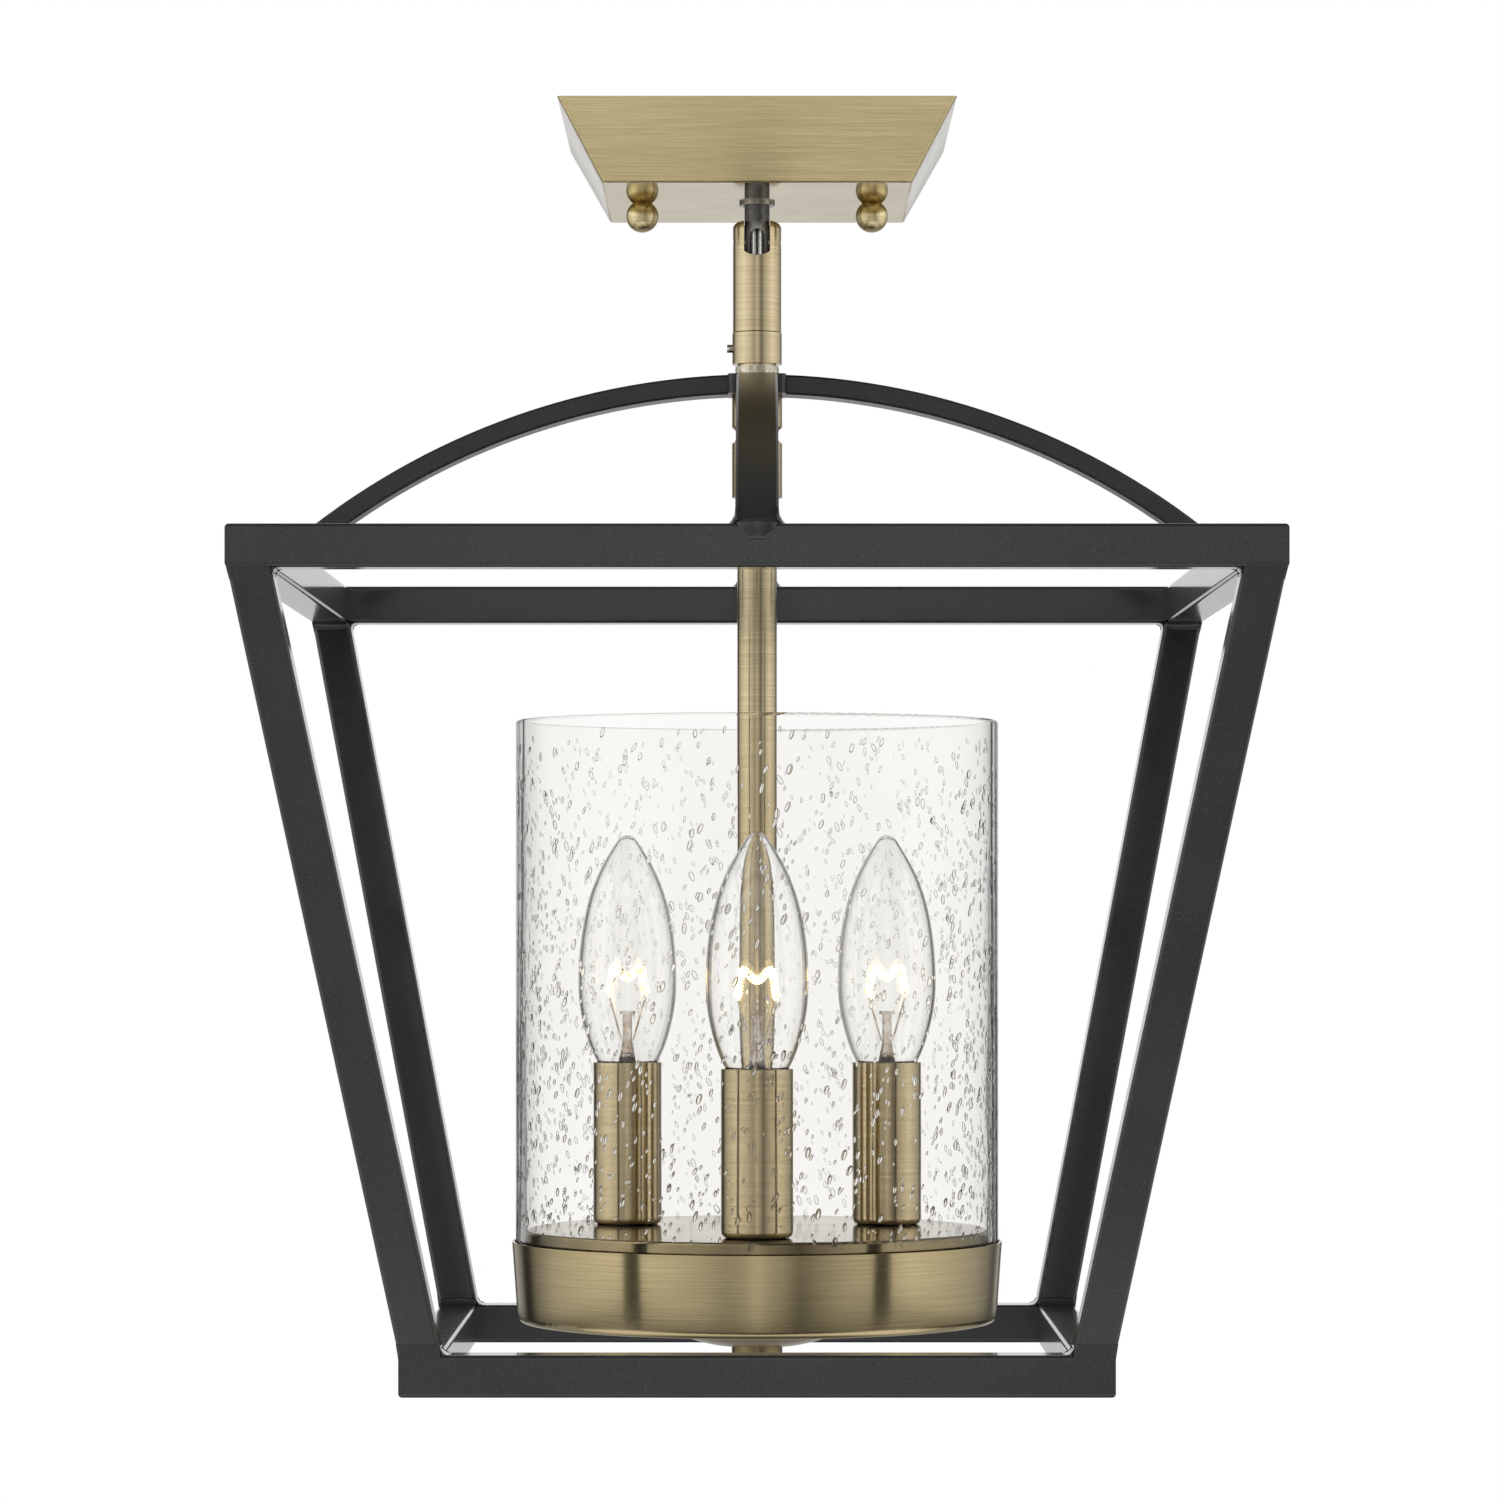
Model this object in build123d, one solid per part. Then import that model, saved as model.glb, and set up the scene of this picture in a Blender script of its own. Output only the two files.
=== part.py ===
from build123d import *

import math
import os

# Semi flush mount ceiling light: a square canopy, a swivel, a tapered square cage
# with an arched top, and a round cup with three candle bulbs in a glass cylinder.
# Millimetres, +Z up. The origin is on the ceiling, over the middle of the canopy.

# Canopy and its straps
CANOPY_TOP = 123.0
CANOPY_BOTTOM = 96.0
CANOPY_DEPTH = 24.8
CANOPY_WALL = 1.0
CANOPY_CORNER = 1.5
CANOPY_BEND = 1.3
BOX_STRAP_END = 4.55
BOX_STRAP_WIDTH = 20.0
STUD_STRAP_WIDTH = 16.0
STRAP_SHEET = 1.6
BOX_SCREW_SPACING = 88.9
BOX_SLOT_WIDTH = 4.8
BOX_SLOT_LENGTH = 12.0
EYELET_RADIUS = 5.1
EYELET_BORE = 4.2
EYELET_FLANGE = 2.2
EYELET_FLANGE_SHEET = 1.0
STUD_SPACING = 73.2
STUD_RADIUS = 2.0
STUD_HEAD_RADIUS = 3.6
STUD_HEAD_HEIGHT = 1.5
STUD_STRAP_END = 9.0
KNOB_RADIUS = 5.15
KNOB_NECK_RADIUS = 3.0
STUD_PAST_KNOB_CENTRE = 1.4
GROUND_SCREW_OFFSET = 20.0
GROUND_SCREW_RADIUS = 2.0
GROUND_HEAD_RADIUS = 4.2
GROUND_HEAD_HEIGHT = 2.6
GROUND_SCREW_LENGTH = 7.0

# Swivel
NIPPLE_RADIUS = 4.0
NIPPLE_BORE = 2.6
NIPPLE_RISE = 12.0
NIPPLE_WASHER_RADIUS = 5.65
NIPPLE_WASHER_SHEET = 0.9
LOCKNUT_RADIUS = 7.2
LOCKNUT_HEIGHT = 4.0
PIVOT_DROP = 12.6
PIVOT_RADIUS = 1.5
PIVOT_RECESS = 0.6
YOKE_WINDOW = 4.6
YOKE_WINDOW_RISE = 4.2
LEAD_RADIUS = 0.95
LEAD_GAP = 0.4
LEAD_BELOW_PIVOT = 3.6
LEAD_RISE = 18.0
FORK_RADIUS = 7.75
FORK_EAR_RISE = 6.7
FORK_LENGTH = 35.4
FORK_SHOULDER = 2.6
FORK_SLOT_WIDTH = 8.3
FORK_SLOT_BELOW_PIVOT = 4.8
FORK_SLOT_ARC = 1.5
FORK_BORE = 3.0
SPIGOT_RADIUS = 4.5
SPIGOT_LENGTH = 7.6
SPIGOT_GROOVE_DEPTH = 0.8
SPIGOT_GROOVE_WIDTH = 3.4
COLLAR_RADIUS = 7.95
COLLAR_LENGTH = 10.2
COLLAR_NECK_RADIUS = 6.15
COLLAR_NECK_LENGTH = 0.8
COLLAR_EDGE = 0.35
SET_SCREW_RADIUS = 1.3
SET_SCREW_DROP = 5.1
SET_SCREW_STICKS_OUT = 1.6
SET_SCREW_SLOT_WIDTH = 0.6
SET_SCREW_SLOT_DEPTH = 0.7

# Threaded tubes that hold the stem together
THREAD_RADIUS = 4.8
THREAD_BORE = 3.0
LOCK_RING_RADIUS = 6.8
LOCK_RING_HEIGHT = 2.8
LOCK_RING_SIDES = 16

# Lantern frame
ARM_WIDTH = 12.7
ARM_THICKNESS = 6.2
ARM_EDGE = 0.7
ARM_FOOT_INSET = 0.8
HUB_WIDTH = 18.6
HUB_CORNER = 2.2
ARCH_RISE = 58.3
CAGE_TOP_WIDTH = 308.6
CAGE_BOTTOM_WIDTH = 214.4
CAGE_HEIGHT = 257.9
TUBE_SIZE = 12.7
TUBE_WALL = 1.2
TUBE_CORNER = 1.3
POST_SIZE = 12.9
POST_INSET_TOP = 0.5

# Stem and couplings
COUPLING_RADIUS = 8.05
UPPER_COUPLING_LENGTH = 12.6
LOWER_COUPLING_LENGTH = 19.6
COUPLING_GAP = 0.5
COUPLING_CHAMFER = 2.4
COUPLING_SOCKET = 9.6
STEM_RADIUS = 6.35
STEM_LENGTH = 233.0

# Cup, plate and glass
GLASS_RADIUS = 76.9
GLASS_WALL = 2.8
GLASS_HEIGHT = 167.8
GLASS_RIM = 0.9
PLATE_SHEET = 1.0
PLATE_EDGE = 0.9
CHANNEL_DEPTH = 6.0
CUP_RIM_DROP = 3.8
CUP_WALL = 0.75
CUP_HEIGHT = 25.7
CUP_TAPER = 1.8
CUP_BEND = 2.4
SPACER_RADIUS = 8.0
DISC_RADIUS = 25.2
DISC_EDGE = 3.9
DISC_HEIGHT = 7.9
FINIAL_RADIUS = 8.1
FINIAL_BODY = 4.4
FINIAL_DOME = 2.2
FINIAL_EDGE = 0.8
FINIAL_THREAD = 4.2
NIPPLE_IN_STEM = 12.0

# Candle sleeves, sockets and bulbs
LAMP_FROM_PLATE_EDGE = 25.0
SLEEVE_RADIUS = 11.15
SLEEVE_WALL = 0.8
SLEEVE_HEIGHT = 52.3
SLEEVE_BEND = 2.0
SOCKET_TOP_DROP = 8.0
SOCKET_DEPTH = 16.2
SHELL_WALL = 0.35
SHELL_END = 0.8
BOLT_RADIUS = 4.6
BOLT_BORE = 2.8
BOLT_HEAD_RADIUS = 6.6
BOLT_HEAD_HEIGHT = 3.2
BOLT_IN_SOCKET = 8.0
BASE_RADIUS = 6.1
BASE_SHELL = 13.2
BASE_CONE = 2.0
BASE_CONE_RADIUS = 3.4
BASE_TIP = 0.8
BASE_TIP_RADIUS = 2.4
BULB_RADIUS = 15.9
BULB_HEIGHT = 73.4
BULB_NECK_DROP = 7.0
BULB_NECK_RADIUS = 5.9
BULB_GLASS = 0.8
MOUNT_FOOT_RADIUS = 4.2
MOUNT_ROD_RADIUS = 1.5
MOUNT_FLARE_HEIGHT = 14.0
MOUNT_BUTTON_RADIUS = 2.5
MOUNT_BUTTON_HEIGHT = 1.0
MOUNT_ROD_HEIGHT = 23.6
WIRE_RADIUS = 0.3
FILAMENT_SPAN = 12.6
FILAMENT_TOP = 38.0
FILAMENT_FOOT = 29.6
FILAMENT_HUMP = 4.4
FILAMENT_DIP = 3.2

# Clearances
FLAT_GAP = 0.3
CURVED_GAP = 0.3
THREAD_CLEAR = 0.05
RUNNING_CLEAR = 0.05
HOLE_CLEAR = 0.3
PLATE_GAP = 0.5
CUP_GAP = 0.45

# Heights, worked out from the ceiling down
canopy_floor = -CANOPY_DEPTH
pivot_z = canopy_floor - PIVOT_DROP
fork_top = pivot_z + FORK_EAR_RISE
seam_z = fork_top - FORK_LENGTH
collar_bottom = seam_z - COLLAR_LENGTH
ring_top = collar_bottom - COLLAR_NECK_LENGTH
hub_top = ring_top - LOCK_RING_HEIGHT
hub_bottom = hub_top - ARM_THICKNESS
cage_top = hub_top - ARCH_RISE
cage_bottom = cage_top - CAGE_HEIGHT
upper_coupling_bottom = hub_bottom - UPPER_COUPLING_LENGTH
lower_coupling_top = upper_coupling_bottom - COUPLING_GAP
lower_coupling_bottom = lower_coupling_top - LOWER_COUPLING_LENGTH
stem_top = lower_coupling_bottom + COUPLING_SOCKET
plate_top = lower_coupling_bottom - STEM_LENGTH
plate_bottom = plate_top - PLATE_SHEET
glass_seat = plate_top - CHANNEL_DEPTH
cup_rim = plate_top - CUP_RIM_DROP
cup_bottom = cup_rim - CUP_HEIGHT
cup_floor = cup_bottom + CUP_WALL
disc_bottom = cup_bottom - DISC_HEIGHT
finial_bottom = disc_bottom - FINIAL_BODY - FINIAL_DOME
sleeve_top = plate_top + SLEEVE_HEIGHT
sleeve_floor = plate_top + SLEEVE_WALL
socket_top = sleeve_top - SOCKET_TOP_DROP
socket_bottom = socket_top - SOCKET_DEPTH
base_top = sleeve_top - BULB_NECK_DROP

# Widths that follow from others
cage_half_top = CAGE_TOP_WIDTH / 2
cage_half_bottom = CAGE_BOTTOM_WIDTH / 2
glass_inner_radius = GLASS_RADIUS - GLASS_WALL
plate_radius = glass_inner_radius - PLATE_GAP
lamp_circle_radius = plate_radius - LAMP_FROM_PLATE_EDGE
cup_rim_radius = GLASS_RADIUS + CUP_GAP + CUP_WALL
cup_bottom_radius = cup_rim_radius - CUP_TAPER
thread_hole = THREAD_RADIUS + THREAD_CLEAR
stem_bore = thread_hole
shell_inner_radius = BASE_RADIUS + CURVED_GAP
shell_outer_radius = shell_inner_radius + SHELL_WALL
socket_bore = shell_outer_radius + THREAD_CLEAR
socket_radius = SLEEVE_RADIUS - SLEEVE_WALL - CURVED_GAP
bolt_hole = BOLT_RADIUS + THREAD_CLEAR
lead_offset = LEAD_RADIUS + LEAD_GAP / 2

FULL_TURN = 360.0
QUARTER_TURN = FULL_TURN / 4
SIDES = ("front", "right", "back", "left")
LAMPS = ("front", "right", "left")
CORNERS = ("back_right", "back_left", "front_left", "front_right")
BASE = (Align.CENTER, Align.CENTER, Align.MIN)


def angles(names):
    """Angle of each name about Z, evenly spaced round from the front."""
    step = FULL_TURN / len(names)
    return {name: place * step - QUARTER_TURN for place, name in enumerate(names)}


def rod(radius, low, high):
    """Upright cylinder on the Z axis between two heights."""
    return Pos(0, 0, low) * Cylinder(radius, high - low, align=BASE)


def tube(outer, inner, low, high):
    """Upright tube on the Z axis between two heights."""
    return rod(outer, low, high) - rod(inner, low, high)


def cross_rod(radius, start, end, height):
    """Cylinder along X between two places, at one height."""
    return Pos(start, 0, height) * Rot(0, 90, 0) * Cylinder(radius, end - start, align=BASE)


def hexagon(radius, low, high, sides=6):
    """Upright prism with a regular outline, measured across its flats."""
    return Pos(0, 0, low) * extrude(RegularPolygon(radius, sides, major_radius=False), high - low)


def turned(*points):
    """Solid turned about Z from an outline of (radius, height) points."""
    outline = Polyline(*[(radius, 0, height) for radius, height in points], close=True)
    return revolve(make_face(outline), Axis.Z)


def at_lamp(angle, shape):
    """Copy of a shape, moved from the middle to one place on the lamp circle."""
    turn = math.radians(angle)
    return Pos(lamp_circle_radius * math.cos(turn), lamp_circle_radius * math.sin(turn), 0) * shape


def canopy_width(height):
    """Outer width of the canopy at a height."""
    return CANOPY_TOP + (CANOPY_BOTTOM - CANOPY_TOP) * height / canopy_floor


def canopy_shell():
    """Square pan, wide at the ceiling, with holes for the nipple and the studs."""
    foot = Pos(0, 0, canopy_floor) * RectangleRounded(CANOPY_BOTTOM, CANOPY_BOTTOM, CANOPY_CORNER)
    mouth = RectangleRounded(CANOPY_TOP, CANOPY_TOP, CANOPY_CORNER)
    outside = loft([foot, mouth], ruled=True)
    outside = fillet(outside.faces().sort_by(Axis.Z)[0].edges(), CANOPY_BEND)
    inner_floor = canopy_floor + CANOPY_WALL
    inner_foot = canopy_width(inner_floor) - 2 * CANOPY_WALL
    inner_mouth = CANOPY_TOP - 2 * CANOPY_WALL
    inner_corner = CANOPY_CORNER - CANOPY_WALL
    inside = loft(
        [
            Pos(0, 0, inner_floor) * RectangleRounded(inner_foot, inner_foot, inner_corner),
            RectangleRounded(inner_mouth, inner_mouth, inner_corner),
        ],
        ruled=True,
    )
    shell = outside - inside - rod(NIPPLE_RADIUS + HOLE_CLEAR, canopy_floor, 0)
    for side in (-1, 1):
        hole = rod(STUD_RADIUS + HOLE_CLEAR, canopy_floor, 0)
        shell -= Pos(side * STUD_SPACING / 2, 0, 0) * hole
    return shell


def box_strap():
    """Strap along Y with a slot for each ceiling box screw."""
    length = BOX_SCREW_SPACING + BOX_SLOT_LENGTH + 2 * BOX_STRAP_END
    plate = Pos(0, 0, -STRAP_SHEET) * Box(BOX_STRAP_WIDTH, length, STRAP_SHEET, align=BASE)
    slot = extrude(Rot(0, 0, 90) * SlotOverall(BOX_SLOT_LENGTH, BOX_SLOT_WIDTH), -STRAP_SHEET)
    for side in (-1, 1):
        plate -= Pos(0, side * BOX_SCREW_SPACING / 2, 0) * slot
    return plate - rod(EYELET_RADIUS + THREAD_CLEAR, -STRAP_SHEET, 0)


def stud_strap():
    """Strap along X, under the box strap, that carries the studs and the ground screw."""
    low = -2 * STRAP_SHEET
    length = STUD_SPACING + 2 * STUD_STRAP_END
    plate = Pos(0, 0, low) * Box(length, STUD_STRAP_WIDTH, STRAP_SHEET, align=BASE)
    plate -= rod(EYELET_RADIUS + THREAD_CLEAR, low, 0)
    for side in (-1, 1):
        plate -= Pos(side * STUD_SPACING / 2, 0, 0) * rod(STUD_RADIUS + THREAD_CLEAR, low, 0)
    return plate - Pos(GROUND_SCREW_OFFSET, 0, 0) * rod(GROUND_SCREW_RADIUS + THREAD_CLEAR, low, 0)


def strap_eyelet():
    """Hollow rivet through both straps, flanged below."""
    low = -2 * STRAP_SHEET
    flange = rod(EYELET_RADIUS + EYELET_FLANGE, low - EYELET_FLANGE_SHEET, low)
    eyelet = flange + rod(EYELET_RADIUS, low, 0)
    return eyelet - rod(EYELET_BORE, low - EYELET_FLANGE_SHEET, 0)


def knob_centre():
    """Height of a ball knob's centre, with its flat on the canopy."""
    return canopy_floor - math.sqrt(KNOB_RADIUS**2 - KNOB_NECK_RADIUS**2)


def canopy_stud():
    """Long screw with its head on the stud strap and its end in the ball knob."""
    head = rod(STUD_HEAD_RADIUS, -STRAP_SHEET, -STRAP_SHEET + STUD_HEAD_HEIGHT)
    return head + rod(STUD_RADIUS, knob_centre() - STUD_PAST_KNOB_CENTRE, -STRAP_SHEET)


def canopy_knob():
    """Ball nut with a flat top and a blind thread."""
    centre = knob_centre()
    ball = Pos(0, 0, centre) * Sphere(KNOB_RADIUS)
    ball -= Pos(0, 0, canopy_floor) * Box(CANOPY_TOP, CANOPY_TOP, CANOPY_DEPTH, align=BASE)
    hole_end = centre - STUD_PAST_KNOB_CENTRE - FLAT_GAP
    return ball - rod(STUD_RADIUS + RUNNING_CLEAR, hole_end, canopy_floor)


def ground_screw():
    """Hex-headed screw under the stud strap."""
    low = -2 * STRAP_SHEET
    head = hexagon(GROUND_HEAD_RADIUS, low - GROUND_HEAD_HEIGHT, low)
    shank = rod(GROUND_SCREW_RADIUS, low, -STRAP_SHEET)
    tail = rod(GROUND_SCREW_RADIUS, low - GROUND_SCREW_LENGTH, low - GROUND_HEAD_HEIGHT)
    return Pos(GROUND_SCREW_OFFSET, 0, 0) * (head + shank + tail)


def yoke_end():
    """Barrel about the pivot axis that follows the fork's slot floor with a gap below."""
    middle = FORK_SLOT_BELOW_PIVOT - CURVED_GAP
    end = middle - FORK_SLOT_ARC
    half = FORK_SLOT_WIDTH / 2
    crown = ThreePointArc((-half, 0, end), (0, 0, middle), (half, 0, end))
    sides = Polyline((half, 0, end), (half, 0, 0), (-half, 0, 0), (-half, 0, end))
    barrel = Pos(0, 0, pivot_z) * revolve(make_face(crown + sides), Axis.X)
    return barrel & rod(NIPPLE_RADIUS, pivot_z - middle, pivot_z)


def swivel_nipple():
    """Threaded nipple whose end is an open yoke: round at the back, with a window in front."""
    top = canopy_floor + NIPPLE_RISE
    low = pivot_z - FORK_SLOT_BELOW_PIVOT
    body = rod(NIPPLE_RADIUS, pivot_z, top) + yoke_end()
    body -= rod(NIPPLE_BORE, low, top)
    arch_z = pivot_z + YOKE_WINDOW_RISE - YOKE_WINDOW / 2
    forward = (Align.CENTER, Align.MAX, Align.MIN)
    window = Pos(0, 0, low) * Box(YOKE_WINDOW, FORK_RADIUS, arch_z - low, align=forward)
    window += Pos(0, 0, arch_z) * Rot(90, 0, 0) * Cylinder(YOKE_WINDOW / 2, FORK_RADIUS, align=BASE)
    body -= window
    return body - cross_rod(PIVOT_RADIUS + RUNNING_CLEAR, -FORK_RADIUS, FORK_RADIUS, pivot_z)


def nipple_washer():
    """Thin flange washer under the canopy."""
    low = canopy_floor - NIPPLE_WASHER_SHEET
    return tube(NIPPLE_WASHER_RADIUS, NIPPLE_RADIUS + THREAD_CLEAR, low, canopy_floor)


def nipple_locknut():
    """Hex nut inside the canopy."""
    low = canopy_floor + CANOPY_WALL
    nut = hexagon(LOCKNUT_RADIUS, low, low + LOCKNUT_HEIGHT)
    return nut - rod(NIPPLE_RADIUS + THREAD_CLEAR, low, low + LOCKNUT_HEIGHT)


def upper_leads():
    """Two lead wires side by side, from the canopy down into the yoke's window."""
    lead = rod(LEAD_RADIUS, pivot_z - LEAD_BELOW_PIVOT, canopy_floor + LEAD_RISE)
    return Compound(children=[Pos(side * lead_offset, 0, 0) * lead for side in (-1, 1)])


def swivel_fork():
    """Slotted knuckle with a bored spigot that the collar turns on."""
    body = rod(FORK_RADIUS, seam_z, fork_top)
    body = fillet(body.faces().sort_by(Axis.Z)[-1].edges(), FORK_SHOULDER)
    half = FORK_SLOT_WIDTH / 2
    floor = pivot_z - FORK_SLOT_BELOW_PIVOT
    corner = floor + FORK_SLOT_ARC
    above = fork_top + FORK_SLOT_WIDTH
    sides = Polyline((half, 0, corner), (half, 0, above), (-half, 0, above), (-half, 0, corner))
    arc = ThreePointArc((-half, 0, corner), (0, 0, floor), (half, 0, corner))
    slot = extrude(make_face(sides + arc), 2 * FORK_RADIUS, both=True)
    spigot_low = seam_z - SPIGOT_LENGTH
    groove_z = seam_z - SET_SCREW_DROP
    groove = tube(
        SPIGOT_RADIUS * 2,
        SPIGOT_RADIUS - SPIGOT_GROOVE_DEPTH,
        groove_z - SPIGOT_GROOVE_WIDTH / 2,
        groove_z + SPIGOT_GROOVE_WIDTH / 2,
    )
    body = body - slot + (rod(SPIGOT_RADIUS, spigot_low, seam_z) - groove)
    body -= rod(FORK_BORE, spigot_low, fork_top)
    return body - cross_rod(PIVOT_RADIUS + THREAD_CLEAR, -FORK_RADIUS, FORK_RADIUS, pivot_z)


def pivot_pins():
    """Pin through each ear of the fork into a prong of the yoke."""
    inner = NIPPLE_BORE
    outer = FORK_RADIUS - PIVOT_RECESS
    right = cross_rod(PIVOT_RADIUS, inner, outer, pivot_z)
    left = cross_rod(PIVOT_RADIUS, -outer, -inner, pivot_z)
    return Compound(children=[left, right])


def hub_nipple_top():
    """Height of the top of the threaded tube in the collar."""
    return seam_z - SPIGOT_LENGTH - FLAT_GAP


def collar():
    """Collar round the spigot, with a neck below and a hole for the set screw."""
    body = rod(COLLAR_RADIUS, collar_bottom, seam_z)
    body = chamfer(body.faces().sort_by(Axis.Z)[-1].edges(), COLLAR_EDGE)
    body += rod(COLLAR_NECK_RADIUS, ring_top, collar_bottom)
    body -= rod(SPIGOT_RADIUS + RUNNING_CLEAR, hub_nipple_top(), seam_z)
    body -= rod(thread_hole, ring_top, hub_nipple_top())
    screw_z = seam_z - SET_SCREW_DROP
    return body - cross_rod(SET_SCREW_RADIUS + RUNNING_CLEAR, -2 * COLLAR_RADIUS, 0, screw_z)


def set_screw():
    """Slotted screw through the left side of the collar, its tip in the spigot's groove."""
    screw_z = seam_z - SET_SCREW_DROP
    outer = -COLLAR_RADIUS - SET_SCREW_STICKS_OUT
    tip = -(SPIGOT_RADIUS - SPIGOT_GROOVE_DEPTH + CURVED_GAP)
    screw = cross_rod(SET_SCREW_RADIUS, outer, tip, screw_z)
    slot = Box(2 * SET_SCREW_SLOT_DEPTH, 4 * SET_SCREW_RADIUS, SET_SCREW_SLOT_WIDTH)
    return screw - Pos(outer, 0, screw_z) * slot


def lock_ring():
    """Many-sided ring nut between the collar and the hub."""
    ring = hexagon(LOCK_RING_RADIUS, hub_top, ring_top, LOCK_RING_SIDES)
    return ring - rod(thread_hole, hub_top, ring_top)


def hub():
    """Square block with rounded corners where the arms meet."""
    block = extrude(RectangleRounded(HUB_WIDTH, HUB_WIDTH, HUB_CORNER), ARM_THICKNESS)
    return Pos(0, 0, hub_bottom) * block - rod(thread_hole, hub_bottom, hub_top)


def hub_nipple():
    """Threaded tube from the collar through ring, hub and both couplings."""
    return tube(THREAD_RADIUS, THREAD_BORE, stem_top, hub_nipple_top())


def arch_arm():
    """Flat bar curved to one radius, from the hub to the top ring, drawn along +X."""
    foot = cage_half_top - ARM_FOOT_INSET
    outer = (foot**2 + ARCH_RISE**2) / (2 * ARCH_RISE)
    centre = hub_top - outer
    section = chamfer(Rectangle(ARM_WIDTH, ARM_THICKNESS).vertices(), ARM_EDGE)
    crown = Pos(0, 0, hub_top - ARM_THICKNESS / 2) * (Plane.YZ * section)
    bend = 2 * math.degrees(math.asin(foot / outer))
    bar = revolve(crown, Axis((0, 0, centre), (0, 1, 0)), bend)
    reach = Box(cage_half_top, ARM_WIDTH, ARCH_RISE, align=(Align.MIN, Align.CENTER, Align.MIN))
    return bar & Pos(HUB_WIDTH / 2, 0, cage_top) * reach


def ring_bar(width, top):
    """Front bar of a square ring of tube: mitred at both ends, outer faces on the width."""
    section = RectangleRounded(TUBE_SIZE, TUBE_SIZE, TUBE_CORNER)
    inside = TUBE_SIZE - 2 * TUBE_WALL
    section -= Rectangle(inside, inside)
    run = extrude(Plane.YZ * section, width, both=True)
    bar = Pos(0, -width / 2 + TUBE_SIZE / 2, top - TUBE_SIZE / 2) * run
    wedge = make_face(Polyline((0, 0), (-width, -width), (width, -width), close=True))
    return bar & Pos(0, 0, top - TUBE_SIZE) * extrude(wedge, TUBE_SIZE)


def post():
    """Leaning tube from the top ring down to the bottom ring, in the +X +Y corner."""
    high = cage_top - TUBE_SIZE
    low = cage_bottom + TUBE_SIZE
    top_at = cage_half_top - POST_INSET_TOP - POST_SIZE / 2
    bottom_at = cage_half_bottom - POST_SIZE / 2
    lean = Vector(bottom_at - top_at, bottom_at - top_at, low - high)
    inside = POST_SIZE - 2 * TUBE_WALL
    section = RectangleRounded(POST_SIZE, POST_SIZE, TUBE_CORNER) - Rectangle(inside, inside)
    return extrude(Pos(top_at, top_at, high) * section, lean.length, dir=lean)


def upper_coupling():
    """Coupling under the hub, bevelled at its lower edge."""
    body = rod(COUPLING_RADIUS, upper_coupling_bottom, hub_bottom)
    body = chamfer(body.faces().sort_by(Axis.Z)[0].edges(), COUPLING_CHAMFER)
    return body - rod(thread_hole, upper_coupling_bottom, hub_bottom)


def lower_coupling():
    """Coupling bevelled at its upper edge, with a socket for the stem below."""
    body = rod(COUPLING_RADIUS, lower_coupling_bottom, lower_coupling_top)
    body = chamfer(body.faces().sort_by(Axis.Z)[-1].edges(), COUPLING_CHAMFER)
    body -= rod(thread_hole, stem_top, lower_coupling_top)
    return body - rod(STEM_RADIUS + THREAD_CLEAR, lower_coupling_bottom, stem_top)


def bottom_nipple():
    """Threaded tube from the stem through plate, spacer, cup and disc into the finial."""
    return tube(THREAD_RADIUS, THREAD_BORE, disc_bottom - FINIAL_THREAD, plate_top + NIPPLE_IN_STEM)


def cup():
    """Round pan, slightly wider at its rim."""
    outside = Pos(0, 0, cup_bottom) * Cone(cup_bottom_radius, cup_rim_radius, CUP_HEIGHT, align=BASE)
    outside = fillet(outside.faces().sort_by(Axis.Z)[0].edges(), CUP_BEND)
    inner_low = cup_bottom_radius - CUP_WALL
    inner_high = cup_rim_radius - CUP_WALL
    depth = CUP_HEIGHT - CUP_WALL
    inside = Pos(0, 0, cup_floor) * Cone(inner_low, inner_high, depth, align=BASE)
    inside = fillet(inside.faces().sort_by(Axis.Z)[0].edges(), CUP_BEND - CUP_WALL)
    return outside - inside - rod(thread_hole, cup_bottom, cup_floor)


def socket_plate():
    """Raised plate with a turned-down edge, whose flange carries the glass."""
    step = plate_radius - PLATE_SHEET
    plate = rod(plate_radius, glass_seat - PLATE_SHEET, plate_top)
    plate = fillet(plate.faces().sort_by(Axis.Z)[-1].edges(), PLATE_EDGE)
    plate += rod(GLASS_RADIUS, glass_seat - PLATE_SHEET, glass_seat)
    plate -= rod(step, glass_seat - PLATE_SHEET, plate_bottom)
    plate -= rod(thread_hole, plate_bottom, plate_top)
    for angle in angles(LAMPS).values():
        plate -= at_lamp(angle, rod(bolt_hole, plate_bottom, plate_top))
    return plate


def cup_spacer():
    """Tube on the nipple between the plate and the cup's floor."""
    return tube(SPACER_RADIUS, thread_hole, cup_floor, plate_bottom)


def bottom_disc():
    """Shallow dish under the cup: a straight edge, then an arc in to the finial."""
    edge_low = cup_bottom - DISC_EDGE
    middle = (DISC_RADIUS + FINIAL_RADIUS) / 2
    bulge = disc_bottom + (edge_low - disc_bottom) * 0.28
    rim = Polyline(
        (thread_hole, 0, disc_bottom),
        (thread_hole, 0, cup_bottom),
        (DISC_RADIUS, 0, cup_bottom),
        (DISC_RADIUS, 0, edge_low),
    )
    arc = ThreePointArc((DISC_RADIUS, 0, edge_low), (middle, 0, bulge), (FINIAL_RADIUS, 0, disc_bottom))
    sole = Line((FINIAL_RADIUS, 0, disc_bottom), (thread_hole, 0, disc_bottom))
    return revolve(make_face(rim + arc + sole), Axis.Z)


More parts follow.
